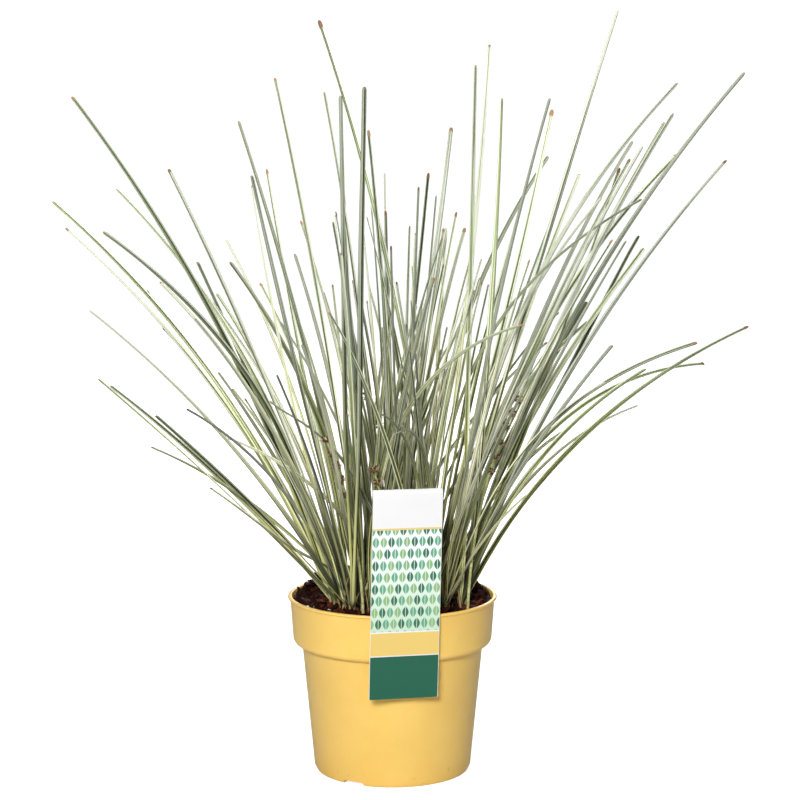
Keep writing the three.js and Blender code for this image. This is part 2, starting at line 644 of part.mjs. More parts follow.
// Nearest points of two straight pieces, as shares along each
function nearestShares(p, d1, q, d2) {
  const r = p.clone().sub(q);
  const a = d1.lengthSq();
  const e = d2.lengthSq();
  const f = d2.dot(r);
  const c = d1.dot(r);
  const b = d1.dot(d2);
  const denominator = a * e - b * b;
  let s = denominator > 1e-9 ? THREE.MathUtils.clamp((b * f - c * e) / denominator, 0, 1) : 0.5;
  let t = (b * s + f) / e;
  if (t < 0) {
    t = 0;
    s = THREE.MathUtils.clamp(-c / a, 0, 1);
  } else if (t > 1) {
    t = 1;
    s = THREE.MathUtils.clamp((b - c) / a, 0, 1);
  }
  return [s, t];
}

// Blades of different shoots that would cross are bent clear of each other, mostly in depth
const BEND_ROUNDS = 160;
const LIST_EVERY = 10;
const SIDEWAYS_EASE = 0.4;
const CLEAR_ENOUGH = 0.02;
const LIST_MARGIN = 4;
const OWN_SHARE = 0.6;
const NEIGHBOUR_SHARE = 0.2;

function pieces(shoots) {
  const list = [];
  shoots.forEach((shoot, index) => {
    for (const blade of shoot.blades) {
      const radii = bladeRadii(blade);
      for (let step = 0; step + 1 < blade.points.length; step += 1) {
        const radius = Math.max(radii[step], radii[step + 1]);
        list.push({ node: `shoot ${index}`, blade, step, radius });
      }
    }
  });
  for (const capsule of obstacleCapsules()) list.push(capsule);
  return list;
}

function endsOf(piece) {
  if (!piece.blade) return [piece.from, piece.to];
  return [piece.blade.points[piece.step], piece.blade.points[piece.step + 1]];
}

// Blades of one shoot may touch in their first piece, where they are fused
function sharesRoot(one, two) {
  if (one.node !== two.node) return false;
  return one.blade === two.blade || one.step === 0 || two.step === 0;
}

function nearPairs(list) {
  const boxes = list.map((piece) => {
    const [from, to] = endsOf(piece);
    const box = new THREE.Box3().setFromPoints([from, to]);
    return box.expandByScalar(piece.radius + LIST_MARGIN);
  });
  const pairs = [];
  for (let one = 0; one < list.length; one += 1) {
    for (let two = one + 1; two < list.length; two += 1) {
      if (!list[one].blade && !list[two].blade) continue;
      if (sharesRoot(list[one], list[two])) continue;
      if (boxes[one].intersectsBox(boxes[two])) pairs.push([list[one], list[two]]);
    }
  }
  return pairs;
}

function pushApart(one, two, moves) {
  const [p0, p1] = endsOf(one);
  const [q0, q1] = endsOf(two);
  const d1 = p1.clone().sub(p0);
  const d2 = q1.clone().sub(q0);
  const [s, t] = nearestShares(p0, d1, q0, d2);
  const apart = p0.clone().addScaledVector(d1, s).sub(q0.clone().addScaledVector(d2, t));
  const distance = apart.length();
  const wanted = one.radius + two.radius;
  if (distance >= wanted) return 0;
  const way = distance > 1e-6 ? apart.divideScalar(distance) : d1.clone().cross(d2).normalize();
  const eased = new THREE.Vector3(way.x * SIDEWAYS_EASE, way.y, way.z * SIDEWAYS_EASE);
  eased.divideScalar(eased.dot(way));
  if (two.way) eased.copy(two.way);
  const share = one.blade && two.blade ? 0.5 : 1;
  const push = (wanted - distance) * share;
  for (const [piece, at, sign] of [[one, s, 1], [two, t, -1]]) {
    if (piece.blade) {
      const own = moves.get(piece.blade);
      own[piece.step].addScaledVector(eased, sign * push * (1 - at));
      own[piece.step + 1].addScaledVector(eased, sign * push * at);
    }
  }
  return wanted - distance;
}

function bendClear(shoots) {
  const blades = shoots.flatMap((shoot) => shoot.blades);
  const list = pieces(shoots);
  let pairs = [];
  for (let round = 0; round < BEND_ROUNDS; round += 1) {
    if (round % LIST_EVERY === 0) pairs = nearPairs(list);
    const moves = new Map();
    for (const blade of blades) moves.set(blade, blade.points.map(() => new THREE.Vector3()));
    let worst = 0;
    for (const [one, two] of pairs) worst = Math.max(worst, pushApart(one, two, moves));
    for (const blade of blades) {
      const own = moves.get(blade);
      const last = own.length - 1;
      for (let step = 1; step <= last; step += 1) {
        const ahead = own[Math.min(step + 1, last)];
        const behind = own[step - 1];
        const move = own[step].clone().multiplyScalar(OWN_SHARE);
        move.addScaledVector(ahead, NEIGHBOUR_SHARE);
        move.addScaledVector(behind, step > 1 ? NEIGHBOUR_SHARE : 0);
        blade.points[step].add(move);
      }
    }
    if (worst < CLEAR_ENOUGH) break;
  }
}

// A twisted side is split along the diagonal that stands outwards, or a thin blade could pass
// through itself
function splitQuad(positions, [a, b, c, d]) {
  const edge = positions[b].clone().sub(positions[a]);
  const diagonal = positions[c].clone().sub(positions[a]);
  const outwards = edge.cross(diagonal).dot(positions[d].clone().sub(positions[a]));
  return outwards <= 0 ? [a, b, c, a, c, d] : [a, b, d, b, c, d];
}

// A blade is a three-sided tapering strip: flat above, keeled below, turning as it grows
function bladeSolid(blade, widening) {
  const { points } = blade;
  const last = points.length - 1;
  const positions = [];
  const side = blade.side.clone();
  for (let step = 0; step < last; step += 1) {
    const before = points[Math.max(step - 1, 0)];
    const along = points[step + 1].clone().sub(before).normalize();
    side.addScaledVector(along, -side.dot(along)).normalize();
    const angle = blade.twist * TWIST_SHARES[step];
    const across = side.clone().applyAxisAngle(along, angle);
    const face = new THREE.Vector3().crossVectors(along, across);
    const half = blade.width * BLADE_TAPER[step] * widening;
    const depth = BLADE_DEPTH * THREE.MathUtils.lerp(THINNEST_SHARE, 1, BLADE_TAPER[step]);
    const above = face.clone().multiplyScalar(depth / 3);
    positions.push(points[step].clone().addScaledVector(across, half).add(above));
    positions.push(points[step].clone().addScaledVector(across, -half).add(above));
    positions.push(points[step].clone().addScaledVector(face, (-2 * depth) / 3));
  }
  positions.push(points[last].clone());
  const index = [0, 2, 1];
  for (let step = 0; step + 1 < last; step += 1) {
    for (let corner = 0; corner < 3; corner += 1) {
      const here = step * 3 + corner;
      const next = step * 3 + ((corner + 1) % 3);
      index.push(...splitQuad(positions, [here, next, next + 3, here + 3]));
    }
  }
  const ring = (last - 1) * 3;
  for (let corner = 0; corner < 3; corner += 1) {
    index.push(ring + corner, ring + ((corner + 1) % 3), last * 3);
  }
  const geometry = new THREE.BufferGeometry().setFromPoints(positions);
  geometry.setIndex(index);
  return solidOf(geometry);
}

// Blades that meet in a shoot at a bad place leave slivers where they are joined. The join is
// tried again with blades a hair wider or slimmer, and the cleanest one is kept
const WIDENING_STEP = 0.004;
const WIDENING_TRIES = 40;
const CLEAN_DETAIL = 0.025;
const CLOSING_UP = [SHORTEST_EDGE, SHORTEST_EDGE / 3];

function makeShoot(shoot) {
  const stub = stubSolid(shoot, 0, STUB_FOOT, STUB_SHOULDER, STUB_TOP);
  let best = { solid: null, detail: -1 };
  for (let attempt = 0; attempt < WIDENING_TRIES && best.detail < CLEAN_DETAIL; attempt += 1) {
    const way = attempt % 2 === 0 ? 1 : -1;
    const widening = 1 + way * WIDENING_STEP * Math.ceil(attempt / 2);
    const blades = shoot.blades.map((blade) => bladeSolid(blade, widening));
    const joined = Manifold.union([stub, ...blades]);
    for (const shortest of CLOSING_UP) {
      const solid = largestBody(joined, shortest);
      const detail = leastDetail(solid);
      if (detail > best.detail) best = { solid, detail };
    }
  }
  return best.solid;
}

// The potting mix fills the pot, with bark chips standing out of its top
function chipPlaces(draw) {
  const places = [];
  while (places.length < CHIP_COUNT) {
    const radius = (innerRadius(MIX_TOP) - CHIP_INSET) * Math.sqrt(draw());
    const bearing = between(draw, 0, Math.PI * 2);
    const place = { x: radius * Math.cos(bearing), y: radius * Math.sin(bearing), radius };
    const apart = places.every((other) => Math.hypot(other.x - place.x, other.y - place.y) > CHIP_SPACING);
    if (apart) places.push(place);
  }
  return places;
}

function chipSolid({ x, y, radius }, draw) {
  const length = between(draw, ...CHIP_LENGTH);
  const width = between(draw, ...CHIP_WIDTH);
  const thickness = between(draw, ...CHIP_THICKNESS);
  const chip = new THREE.BoxGeometry(length, width, thickness);
  const corners = chip.attributes.position;
  const pinch = between(draw, ...CHIP_PINCH);
  for (let index = 0; index < corners.count; index += 1) {
    if (corners.getX(index) > 0) {
      corners.setY(index, corners.getY(index) * pinch);
      corners.setZ(index, corners.getZ(index) * CHIP_THINNING);
    }
  }
  chip.rotateX(between(draw, -CHIP_ROLL, CHIP_ROLL));
  chip.rotateY(between(draw, -CHIP_PITCH, CHIP_PITCH));
  chip.rotateZ(between(draw, 0, Math.PI * 2));
  const rise = between(draw, ...(radius > EDGE_RADIUS ? EDGE_CHIP_RISE : CHIP_RISE));
  chip.translate(x, y, MIX_TOP + riseAt(y) + rise);
  return solidOf(chip);
}

function makeMix(shoots, draw) {
  const low = BODY_LOW_HEIGHT + WALL + 1;
  const floor = FOOT_RECESS + WALL + FIT_GAP;
  const shoulderLow = COLLAR_LOW_HEIGHT - SHOULDER_RADIUS;
  const side = [
    [0, floor],
    [BODY_LOW_RADIUS - WALL - 2.6, floor],
    [BODY_LOW_RADIUS - WALL - FIT_GAP, low + 0.4],
    [BODY_TOP_RADIUS - WALL - FIT_GAP, shoulderLow + FIT_GAP],
    [COLLAR_LOW_RADIUS - WALL - SHOULDER_STEP - FIT_GAP, shoulderLow + WALL + 0.8],
    [COLLAR_LOW_RADIUS - WALL - FIT_GAP, COLLAR_LOW_HEIGHT + FIT_GAP],
  ];
  const roomTop = LIP_HEIGHT + HEAP_OVER_LIP;
  const top = [
    [innerRadius(roomTop) - FIT_GAP - 0.1, roomTop],
    [0, roomTop],
  ];
  const room = lathe([...side, ...top], MIX_SEGMENTS);
  const slopeLength = Math.hypot(MIX_SLOPE, 1);
  const downwards = [0, MIX_SLOPE / slopeLength, -1 / slopeLength];
  const plug = room.trimByPlane(downwards, -MIX_TOP / slopeLength);
  const chips = chipPlaces(draw).map((place) => chipSolid(place, draw));
  let mix = Manifold.union([plug, ...chips]).intersect(room);
  const holeFoot = STUB_FOOT - FIT_GAP;
  const cuts = shoots.map((shoot) => (
    stubSolid(shoot, FIT_GAP, holeFoot, STUB_HOLE_SHOULDER, STUB_HOLE_TOP)
  ));
  for (const { root: [x, y] } of SPIKES) {
    const { above, below, depth, foot } = STALK_HOLE;
    const drill = new THREE.CylinderGeometry(STALK_RADIUS + above, STALK_RADIUS + below, depth, 8);
    drill.rotateX(Math.PI / 2);
    drill.translate(x, y, foot + riseAt(y) + depth / 2);
    cuts.push(solidOf(drill));
  }
  cuts.push(labelSlot());
  mix = mix.subtract(Manifold.union(cuts));
  return largestBody(mix);
}

const shoots = makeShoots();
const leafDraw = seededDraws(1707);
shareOut([...seenBlades(leafDraw), ...fillingBlades(leafDraw)], shoots);
for (const shoot of shoots) layOut(shoot, leafDraw);
bendClear(shoots);

const plant = new THREE.Group();
plant.name = 'potted_spiny_head_mat_rush';
plant.add(namedMesh('pot', makePot(), materials.pot));
plant.add(namedMesh('potting_mix', makeMix(shoots, seededDraws(902)), materials.mix));
plant.add(namedMesh('plant_label', makeLabel(), materials.label));
const spikeDraw = seededDraws(55);
SPIKES.forEach((spike, index) => {
  plant.add(namedMesh(`flower_spike_${index + 1}`, makeSpike(spike, spikeDraw), materials.spike));
});
shoots.forEach((shoot, index) => {
  const number = String(index + 1).padStart(2, '0');
  plant.add(namedMesh(`shoot_${number}`, makeShoot(shoot), materials.leaf));
});

export default plant;
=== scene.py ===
# Potted spiny-head mat rush: the fine surface, finishes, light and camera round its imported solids.
# Everything is in metres, +Z is up, and the front of the plant looks along -Y.

# %% [markdown]
# A mat rush grows as a tussock: many shoots stand in the mix, and each is a flat sheaf of stiff
# blades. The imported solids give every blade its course, width and turn with a few flat sides.
# This script keeps those courses and gives each blade, bark chip, bract and wall its real
# roundness, edges and finish. It starts by loading the solids, because every later size is read
# from them or set against them.

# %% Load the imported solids
import math
import random

import bmesh
import bpy
import numpy as np
from mathutils import Matrix, Vector, noise


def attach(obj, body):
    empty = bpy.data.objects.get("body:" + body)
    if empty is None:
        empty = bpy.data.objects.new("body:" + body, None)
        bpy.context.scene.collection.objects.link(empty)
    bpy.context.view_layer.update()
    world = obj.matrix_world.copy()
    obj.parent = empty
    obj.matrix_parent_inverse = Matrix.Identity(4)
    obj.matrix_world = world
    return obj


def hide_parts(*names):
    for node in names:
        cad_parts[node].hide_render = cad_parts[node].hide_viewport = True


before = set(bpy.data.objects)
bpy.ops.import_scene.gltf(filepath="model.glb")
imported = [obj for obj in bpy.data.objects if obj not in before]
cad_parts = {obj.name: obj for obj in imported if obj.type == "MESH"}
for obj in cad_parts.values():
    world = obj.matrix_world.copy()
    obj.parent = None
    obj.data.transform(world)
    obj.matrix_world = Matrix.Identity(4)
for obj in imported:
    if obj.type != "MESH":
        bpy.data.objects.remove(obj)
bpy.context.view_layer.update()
MM = 0.001
shoot_names = sorted(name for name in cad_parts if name.startswith("shoot_"))
print("solids loaded:", len(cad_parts), "of them shoots:", len(shoot_names))

# %% [markdown]
# The photo was taken from about two metres away with a long lens, a little above the plant and
# looking down at it by a few degrees. A camera can be placed by eye, or worked out from edges
# whose real size is known. The pot's round lip and foot are such edges, so the lens and place
# here were fitted to them.

# %% Camera at the photo's viewpoint
PHOTO_SIDE = 800
FOCAL_LENGTH_IN_PIXELS = 2407.9
SENSOR_SIDE = 36.0
CAMERA_PLACE = Vector((0.00617, -1.9228, 0.5622))
CAMERA_PITCH = 7.66

camera_data = bpy.data.cameras.new("photo_camera")
camera_data.sensor_width = SENSOR_SIDE
camera_data.lens = FOCAL_LENGTH_IN_PIXELS / PHOTO_SIDE * SENSOR_SIDE
camera = bpy.data.objects.new("photo_camera", camera_data)
camera.location = CAMERA_PLACE
camera.rotation_euler = (math.radians(90 - CAMERA_PITCH), 0, 0)
bpy.context.scene.collection.objects.link(camera)
bpy.context.scene.camera = camera
print("lens in mm:", round(camera_data.lens, 2))

# %% [markdown]
# Materials are made of nodes. Writing each node and link out in full makes long code, so a small
# kit adds a node and feeds its inputs in one call. Colours are named the way a paint chart
# gives them, as red, green and blue from 0 to 255, and are turned into the linear values that
# the renderer works with.


# %% A kit for building node trees
def paint(red, green, blue):
    def linear(level):
        share = level / 255
        return share / 12.92 if share <= 0.04045 else ((share + 0.055) / 1.055) ** 2.4

    return (linear(red), linear(green), linear(blue), 1.0)


class NodeKit:
    """Adds nodes to one tree; an input takes a number, a colour or another node's output."""

    def __init__(self, tree):
        self.tree = tree

    def feed(self, socket, value):
        if isinstance(value, bpy.types.NodeSocket):
            self.tree.links.new(value, socket)
        else:
            socket.default_value = value

    def add(self, kind, settings=None, **inputs):
        node = self.tree.nodes.new(kind)
        for name, value in (settings or {}).items():
            setattr(node, name, value)
        for name, value in inputs.items():
            self.feed(node.inputs[name.replace("_", " ")], value)
        return node

    def math(self, operation, first, second=0.0, clamp=False):
        node = self.add("ShaderNodeMath", {"operation": operation, "use_clamp": clamp})
        self.feed(node.inputs[0], first)
        self.feed(node.inputs[1], second)
        return node.outputs[0]

    def times(self, first, second, clamp=False):
        return self.math("MULTIPLY", first, second, clamp)

    def plus(self, first, second, clamp=False):
        return self.math("ADD", first, second, clamp)

    def blend(self, share, first, second, mode="MIX"):
        node = self.add("ShaderNodeMix", {"data_type": "RGBA", "blend_type": mode})
        self.feed(node.inputs["Factor"], share)
        self.feed(node.inputs["A"], first)
        self.feed(node.inputs["B"], second)
        return node.outputs["Result"]

    def smooth(self, value, low, high, out_low=0.0, out_high=1.0):
        limits = {"From_Min": low, "From_Max": high, "To_Min": out_low, "To_Max": out_high}
        settings = {"interpolation_type": "SMOOTHSTEP"}
        return self.add("ShaderNodeMapRange", settings, Value=value, **limits).outputs["Result"]

    def noise(self, place, scale, detail=2.0, roughness=0.5):
        sizes = {"Scale": scale, "Detail": detail, "Roughness": roughness}
        return self.add("ShaderNodeTexNoise", Vector=place, **sizes).outputs["Fac"]

    def object_place(self):
        return self.add("ShaderNodeTexCoord").outputs["Object"]

    def place(self, x=0.0, y=0.0, z=0.0):
        return self.add("ShaderNodeCombineXYZ", X=x, Y=y, Z=z).outputs[0]

    def attribute(self, name, output="Fac"):
        node = self.add("ShaderNodeAttribute", {"attribute_name": name})
        return node.outputs[output]

    def bump(self, height, strength, distance):
        node = self.add("ShaderNodeBump", Strength=strength, Distance=distance)
        self.feed(node.inputs["Height"], height)
        return node.outputs["Normal"]

    def group(self, tree, **inputs):
        return self.add("ShaderNodeGroup", {"node_tree": tree}, **inputs)


def new_material(name):
    material = bpy.data.materials.new(name)
    material.use_nodes = True
    print("material:", name)
    return material, NodeKit(material.node_tree), material.node_tree.nodes["Principled BSDF"]


def dress(kit, shader, colour, roughness, normal, specular=0.5):
    """Feeds what varies over a surface; its gloss is one plain number on the shader."""
    kit.feed(shader.inputs["Base Color"], colour)
    kit.feed(shader.inputs["Roughness"], roughness)
    kit.feed(shader.inputs["Normal"], normal)
    shader.inputs["Specular IOR Level"].default_value = specular


# %% [markdown]
# Several finishes share the same small effects: a fine uneven tone that keeps a moulded or grown
# surface from looking painted, and the settled dust of a nursery bench. Each effect is built once
# as a node group with named inputs, and every material places it with its own values. A group
# here only gives out masks and heights, which vary over the surface.


# %% Shared effects as node groups
def new_group(name, inputs, outputs):
    tree = bpy.data.node_groups.new(name, "ShaderNodeTree")
    for socket, default in inputs.items():
        made = tree.interface.new_socket(socket, in_out="INPUT", socket_type="NodeSocketFloat")
        made.default_value = default
    for socket in outputs:
        tree.interface.new_socket(socket, in_out="OUTPUT", socket_type="NodeSocketFloat")
    kit = NodeKit(tree)
    return tree, kit, kit.add("NodeGroupInput"), kit.add("NodeGroupOutput")


def make_mottle():
    tree, kit, given, result = new_group(
        "uneven_tone", {"Patch Scale": 40.0, "Grain Scale": 900.0}, ["Patches", "Grain"]
    )
    place = kit.object_place()
    kit.feed(result.inputs["Patches"], kit.noise(place, given.outputs["Patch Scale"], 4.0, 0.6))
    kit.feed(result.inputs["Grain"], kit.noise(place, given.outputs["Grain Scale"], 2.0, 0.5))
    return tree


def make_dust():
    tree, kit, given, result = new_group(
        "settled_dust", {"Amount": 0.5, "Speck Scale": 260.0}, ["Dust"]
    )
    coordinates = kit.object_place()
    normal = kit.add("ShaderNodeNewGeometry").outputs["Normal"]
    upward = kit.add("ShaderNodeSeparateXYZ", Vector=normal).outputs["Z"]
    facing = kit.smooth(upward, -0.1, 0.9)
    specks = kit.smooth(kit.noise(coordinates, given.outputs["Speck Scale"], 5.0, 0.7), 0.48, 0.72)
    clouds = kit.smooth(kit.noise(coordinates, 22.0, 3.0), 0.4, 0.75)
    settled = kit.times(kit.plus(specks, kit.times(clouds, 0.4)), facing)
    kit.feed(result.inputs["Dust"], kit.times(settled, given.outputs["Amount"], clamp=True))
    return tree


uneven_tone = make_mottle()
settled_dust = make_dust()
print("shared effects:", uneven_tone.name, settled_dust.name)

# %% [markdown]
# Every piece below is a mesh made from points and faces worked out in code. A few helpers do the
# repeated work: one turns points and faces into an object, one lets it ride on the root body in
# the place of its solid, and the others fill in the faces between rings of points.


# %% Helpers for meshes and pieces
def mesh_piece(name, points, faces, material, smooth=True):
    mesh = bpy.data.meshes.new(name)
    mesh.from_pydata([tuple(point) for point in points], [], faces)
    mesh.materials.append(material)
    if smooth:
        mesh.shade_smooth()
    piece = bpy.data.objects.new(name, mesh)
    bpy.context.scene.collection.objects.link(piece)
    return piece


def take_place(piece, slot, *nodes):
    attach(piece, "root")
    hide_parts(*nodes)
    print(piece.name, "faces:", len(piece.data.polygons))


def add_row(points, radius, height, sides):
    """A ring of points round the axis, or one point on it; returns the points' numbers."""
    first = len(points)
    for side in range(sides if radius else 1):
        angle = 2 * math.pi * side / sides
        points.append(Vector((radius * math.cos(angle), radius * math.sin(angle), height)) * MM)
    return list(range(first, len(points)))


def row_faces(rows, sides):
    """Faces between rows that follow each other; a row of one point is the centre of a fan."""
    faces = []
    for low, high in zip(rows, rows[1:]):
        for side in range(sides):
            after = (side + 1) % sides
            corners = [low[side % len(low)], low[after % len(low)]]
            corners += [high[after % len(high)], high[side % len(high)]]
            corners = list(dict.fromkeys(corners))
            if len(corners) > 2:
                faces.append(corners)
    return faces


def tube_faces(rings, sides, start):
    """Quads between rings of points that follow each other, then a cap on each end."""
    faces = []
    for ring in range(rings - 1):
        for side in range(sides):
            near = start + ring * sides
            far = near + sides
            after = (side + 1) % sides
            faces.append((near + side, near + after, far + after, far + side))
    last = start + (rings - 1) * sides
    faces.append(tuple(reversed(range(start, start + sides))))
    faces.append(tuple(range(last, last + sides)))
    return faces


def point_values(piece, name, values):
    attribute = piece.data.attributes.new(name, "FLOAT", "POINT")
    attribute.data.foreach_set("value", np.asarray(values, np.float32))


def apply_modifiers(piece):
    graph = bpy.context.evaluated_depsgraph_get()
    finished = bpy.data.meshes.new_from_object(piece.evaluated_get(graph))
    piece.modifiers.clear()
    piece.data = finished


# %% [markdown]
# The pot is a thrown-away shape everybody knows: one thin wall of yellow plastic with a rounded
# lip, a tall collar that steps in over a soft shoulder, a body that narrows to a foot, and
# notches in the foot for the water. It could be carved from boxes, but a wall that is the same
# all the way round is best spun: an outline is turned about the axis, and only the notches and
# drain holes are cut afterwards.

# %% Pot sizes
LIP_RADIUS = 85.0
LIP_HEIGHT = 144.2
LIP_BEAD = 2.2
COLLAR_TOP_RADIUS = 83.2
COLLAR_LOW_RADIUS = 80.9
COLLAR_LOW_HEIGHT = 110.5
SHOULDER_RADIUS = 5.6
SHOULDER_STEP = 3.4
BODY_TOP_RADIUS = 73.5
BODY_LOW_RADIUS = 63.9
BODY_LOW_HEIGHT = 4.2
FOOT_OUTER_RADIUS = 61.6
FOOT_INNER_RADIUS = 56.5
FOOT_RECESS = 3.2
FOOT_ROUNDING = 1.2
WALL = 1.5
WALL_ROUNDING = 0.6
POT_SIDES = 160
ARC_STEPS = 8
print("pot across its lip and tall, in mm:", 2 * LIP_RADIUS, LIP_HEIGHT)


# %% Spin the pot's wall
def arc(centre, radius, first, last, steps=ARC_STEPS):
    """Points on a round stretch of an outline, between two angles in degrees."""
    angles = [math.radians(first + (last - first) * step / steps) for step in range(steps + 1)]
    return [(centre[0] + radius * math.cos(a), centre[1] + radius * math.sin(a)) for a in angles]


def pot_outline():
    bead = LIP_BEAD / 2
    shoulder_low = COLLAR_LOW_HEIGHT - SHOULDER_RADIUS
    shoulder_centre = (COLLAR_LOW_RADIUS - SHOULDER_RADIUS, COLLAR_LOW_HEIGHT)
    outside = [(FOOT_INNER_RADIUS, 0.0)]
    outside += arc((FOOT_OUTER_RADIUS - 0.6, FOOT_ROUNDING), FOOT_ROUNDING, -90, -20, 4)
    outside += [(BODY_LOW_RADIUS, BODY_LOW_HEIGHT)]
    outside += [(BODY_TOP_RADIUS, shoulder_low - 0.9), (BODY_TOP_RADIUS + 0.4, shoulder_low - 0.2)]
    outside += arc(shoulder_centre, SHOULDER_RADIUS, -88, 0)
    outside += [(COLLAR_TOP_RADIUS - 0.1, LIP_HEIGHT - LIP_BEAD - 0.6)]
    outside += [(COLLAR_TOP_RADIUS + 0.1, LIP_HEIGHT - LIP_BEAD - 0.1)]
    outside += arc((LIP_RADIUS - bead, LIP_HEIGHT - bead), bead, -70, 90)
    edge_centre = (COLLAR_TOP_RADIUS - WALL + WALL_ROUNDING, LIP_HEIGHT - WALL_ROUNDING)
    inside = arc(edge_centre, WALL_ROUNDING, 90, 180, 4)
    inside += [
        (COLLAR_LOW_RADIUS - WALL, COLLAR_LOW_HEIGHT),
        (COLLAR_LOW_RADIUS - WALL - SHOULDER_STEP, shoulder_low + WALL + 0.4),
        (BODY_TOP_RADIUS - WALL, shoulder_low),
        (BODY_LOW_RADIUS - WALL, BODY_LOW_HEIGHT + WALL + 1),
        (BODY_LOW_RADIUS - WALL - 2, FOOT_RECESS + WALL),
        (0.0, FOOT_RECESS + WALL),
        (0.0, FOOT_RECESS),
        (FOOT_INNER_RADIUS, FOOT_RECESS),
    ]
    return outside, inside


def spin(outline, sides):
    """A closed outline turned about the axis; points on the axis are kept once."""
    points = []
    rows = [add_row(points, radius, height, sides) for radius, height in outline]
    return points, row_faces(rows + rows[:1], sides)


outside_line, inside_line = pot_outline()
pot_points, pot_faces = spin(outside_line + inside_line, POT_SIDES)
print("spun wall:", len(pot_points), "points,", len(pot_faces), "faces")

# %% [markdown]
# The plastic is moulded with its colour all through it: a warm yellow, satin rather than glossy,
# that lets a little light in. A plain yellow would look like card, so light also scatters just
# under the surface, two close yellows drift into each other, dust lies where the wall faces up,
# and a few scuffs sit low down, where a pot is dragged over a bench.


# %% Yellow moulded plastic
SCUFFS_UP_TO = 0.028


def make_pot_plastic():
    material, kit, shader = new_material("pot_plastic_fine")
    tone = kit.group(uneven_tone, Patch_Scale=26.0, Grain_Scale=1400.0)
    dust = kit.group(settled_dust, Amount=0.35, Speck_Scale=420.0).outputs["Dust"]
    coordinates = kit.object_place()
    height = kit.add("ShaderNodeSeparateXYZ", Vector=coordinates).outputs["Z"]
    patches = kit.smooth(tone.outputs["Patches"], 0.35, 0.7)
    warm = kit.blend(patches, paint(241, 197, 104), paint(244, 202, 111))
    low_soil = kit.smooth(height, SCUFFS_UP_TO, 0.0)
    scuffs = kit.smooth(kit.noise(coordinates, 95.0, 6.0, 0.75), 0.6, 0.72)
    soiled = kit.times(kit.times(low_soil, scuffs), 0.5)
    colour = kit.blend(soiled, warm, paint(150, 110, 60))
    colour = kit.blend(kit.times(dust, 0.6), colour, paint(214, 186, 128))
    roughness = kit.plus(kit.times(tone.outputs["Patches"], 0.16), 0.32)
    roughness = kit.plus(roughness, kit.times(dust, 0.3), clamp=True)
    normal = kit.bump(tone.outputs["Grain"], 0.08, 0.0002)
    dress(kit, shader, colour, roughness, normal, specular=0.3)
    shader.inputs["Subsurface Weight"].default_value = 0.3
    shader.inputs["Subsurface Radius"].default_value = (0.004, 0.0022, 0.0006)
    shader.inputs["Subsurface Scale"].default_value = 1.0
    return material


pot_plastic = make_pot_plastic()

# %% [markdown]
# Three notches in the foot let water run out from under the pot, and six round holes in its
# floor let it out of the mix. They aren't the same all the way round, so they can't be spun.
# Their shapes are made as one plain mesh, and a boolean modifier takes it away from the wall.

# %% Cut the foot's notches and the drain holes
NOTCH_COUNT = 3
NOTCH_FIRST_ANGLE = -120.0
NOTCH_WIDTH = 22.0
NOTCH_HEIGHT = 3.0
NOTCH_DEPTH = 16.0
NOTCH_CIRCLE = FOOT_OUTER_RADIUS - 2.0
CUT_BELOW = 2.0
DRAIN_HOLE_COUNT = 6
DRAIN_HOLE_RADIUS = 4.5
DRAIN_HOLE_CIRCLE = 42.0
DRILL_LENGTH = 8.0
SHARP_ABOVE = math.radians(38)


def cutter_object(name, bm):
    mesh = bpy.data.meshes.new(name)
    bm.to_mesh(mesh)
    bm.free()
    cutter = bpy.data.objects.new(name, mesh)
    bpy.context.scene.collection.objects.link(cutter)
    return cutter


def pot_cutter():
    """One mesh with three wedges for the foot and six round drills for the floor."""
    bm = bmesh.new()
    for index in range(NOTCH_COUNT):
        angle = math.radians(NOTCH_FIRST_ANGLE + 360 / NOTCH_COUNT * index)
        turn = Matrix.Rotation(angle, 4, "Z")
        shift = Matrix.Translation((NOTCH_CIRCLE * MM, 0, (NOTCH_HEIGHT - CUT_BELOW) / 2 * MM))
        size = Matrix.Diagonal((NOTCH_DEPTH * MM, NOTCH_WIDTH * MM, (NOTCH_HEIGHT + CUT_BELOW) * MM, 1))
        made = bmesh.ops.create_cube(bm, size=1.0, matrix=turn @ shift @ size)
        top = [vert for vert in made["verts"] if vert.co.z > 0]
        middle = turn @ Vector((NOTCH_CIRCLE * MM, 0, 0))
        along = (turn @ Vector((0, 1, 0))).normalized()
        for vert in top:
            offset = (vert.co - middle).dot(along)
            vert.co -= along * math.copysign(NOTCH_HEIGHT * MM, offset)
    for index in range(DRAIN_HOLE_COUNT):
        angle = 2 * math.pi * index / DRAIN_HOLE_COUNT
        spot = Matrix.Translation((
            DRAIN_HOLE_CIRCLE * math.cos(angle) * MM,
            DRAIN_HOLE_CIRCLE * math.sin(angle) * MM,
            (FOOT_RECESS + WALL / 2) * MM,
        ))
        sizes = {"radius1": DRAIN_HOLE_RADIUS * MM, "radius2": DRAIN_HOLE_RADIUS * MM}
        sizes["depth"] = DRILL_LENGTH * MM
        bmesh.ops.create_cone(bm, cap_ends=True, segments=32, matrix=spot, **sizes)
    return cutter_object("pot_cutter", bm)


pot = mesh_piece("nursery_pot", pot_points, pot_faces, pot_plastic, smooth=False)
cutter = pot_cutter()
cut = pot.modifiers.new("openings", "BOOLEAN")
cut.operation = "DIFFERENCE"
cut.solver = "EXACT"
cut.object = cutter
apply_modifiers(pot)
bpy.data.objects.remove(cutter)
pot.data.shade_smooth()
pot.data.set_sharp_from_angle(angle=SHARP_ABOVE)
take_place(pot, "pot_plastic", "pot")

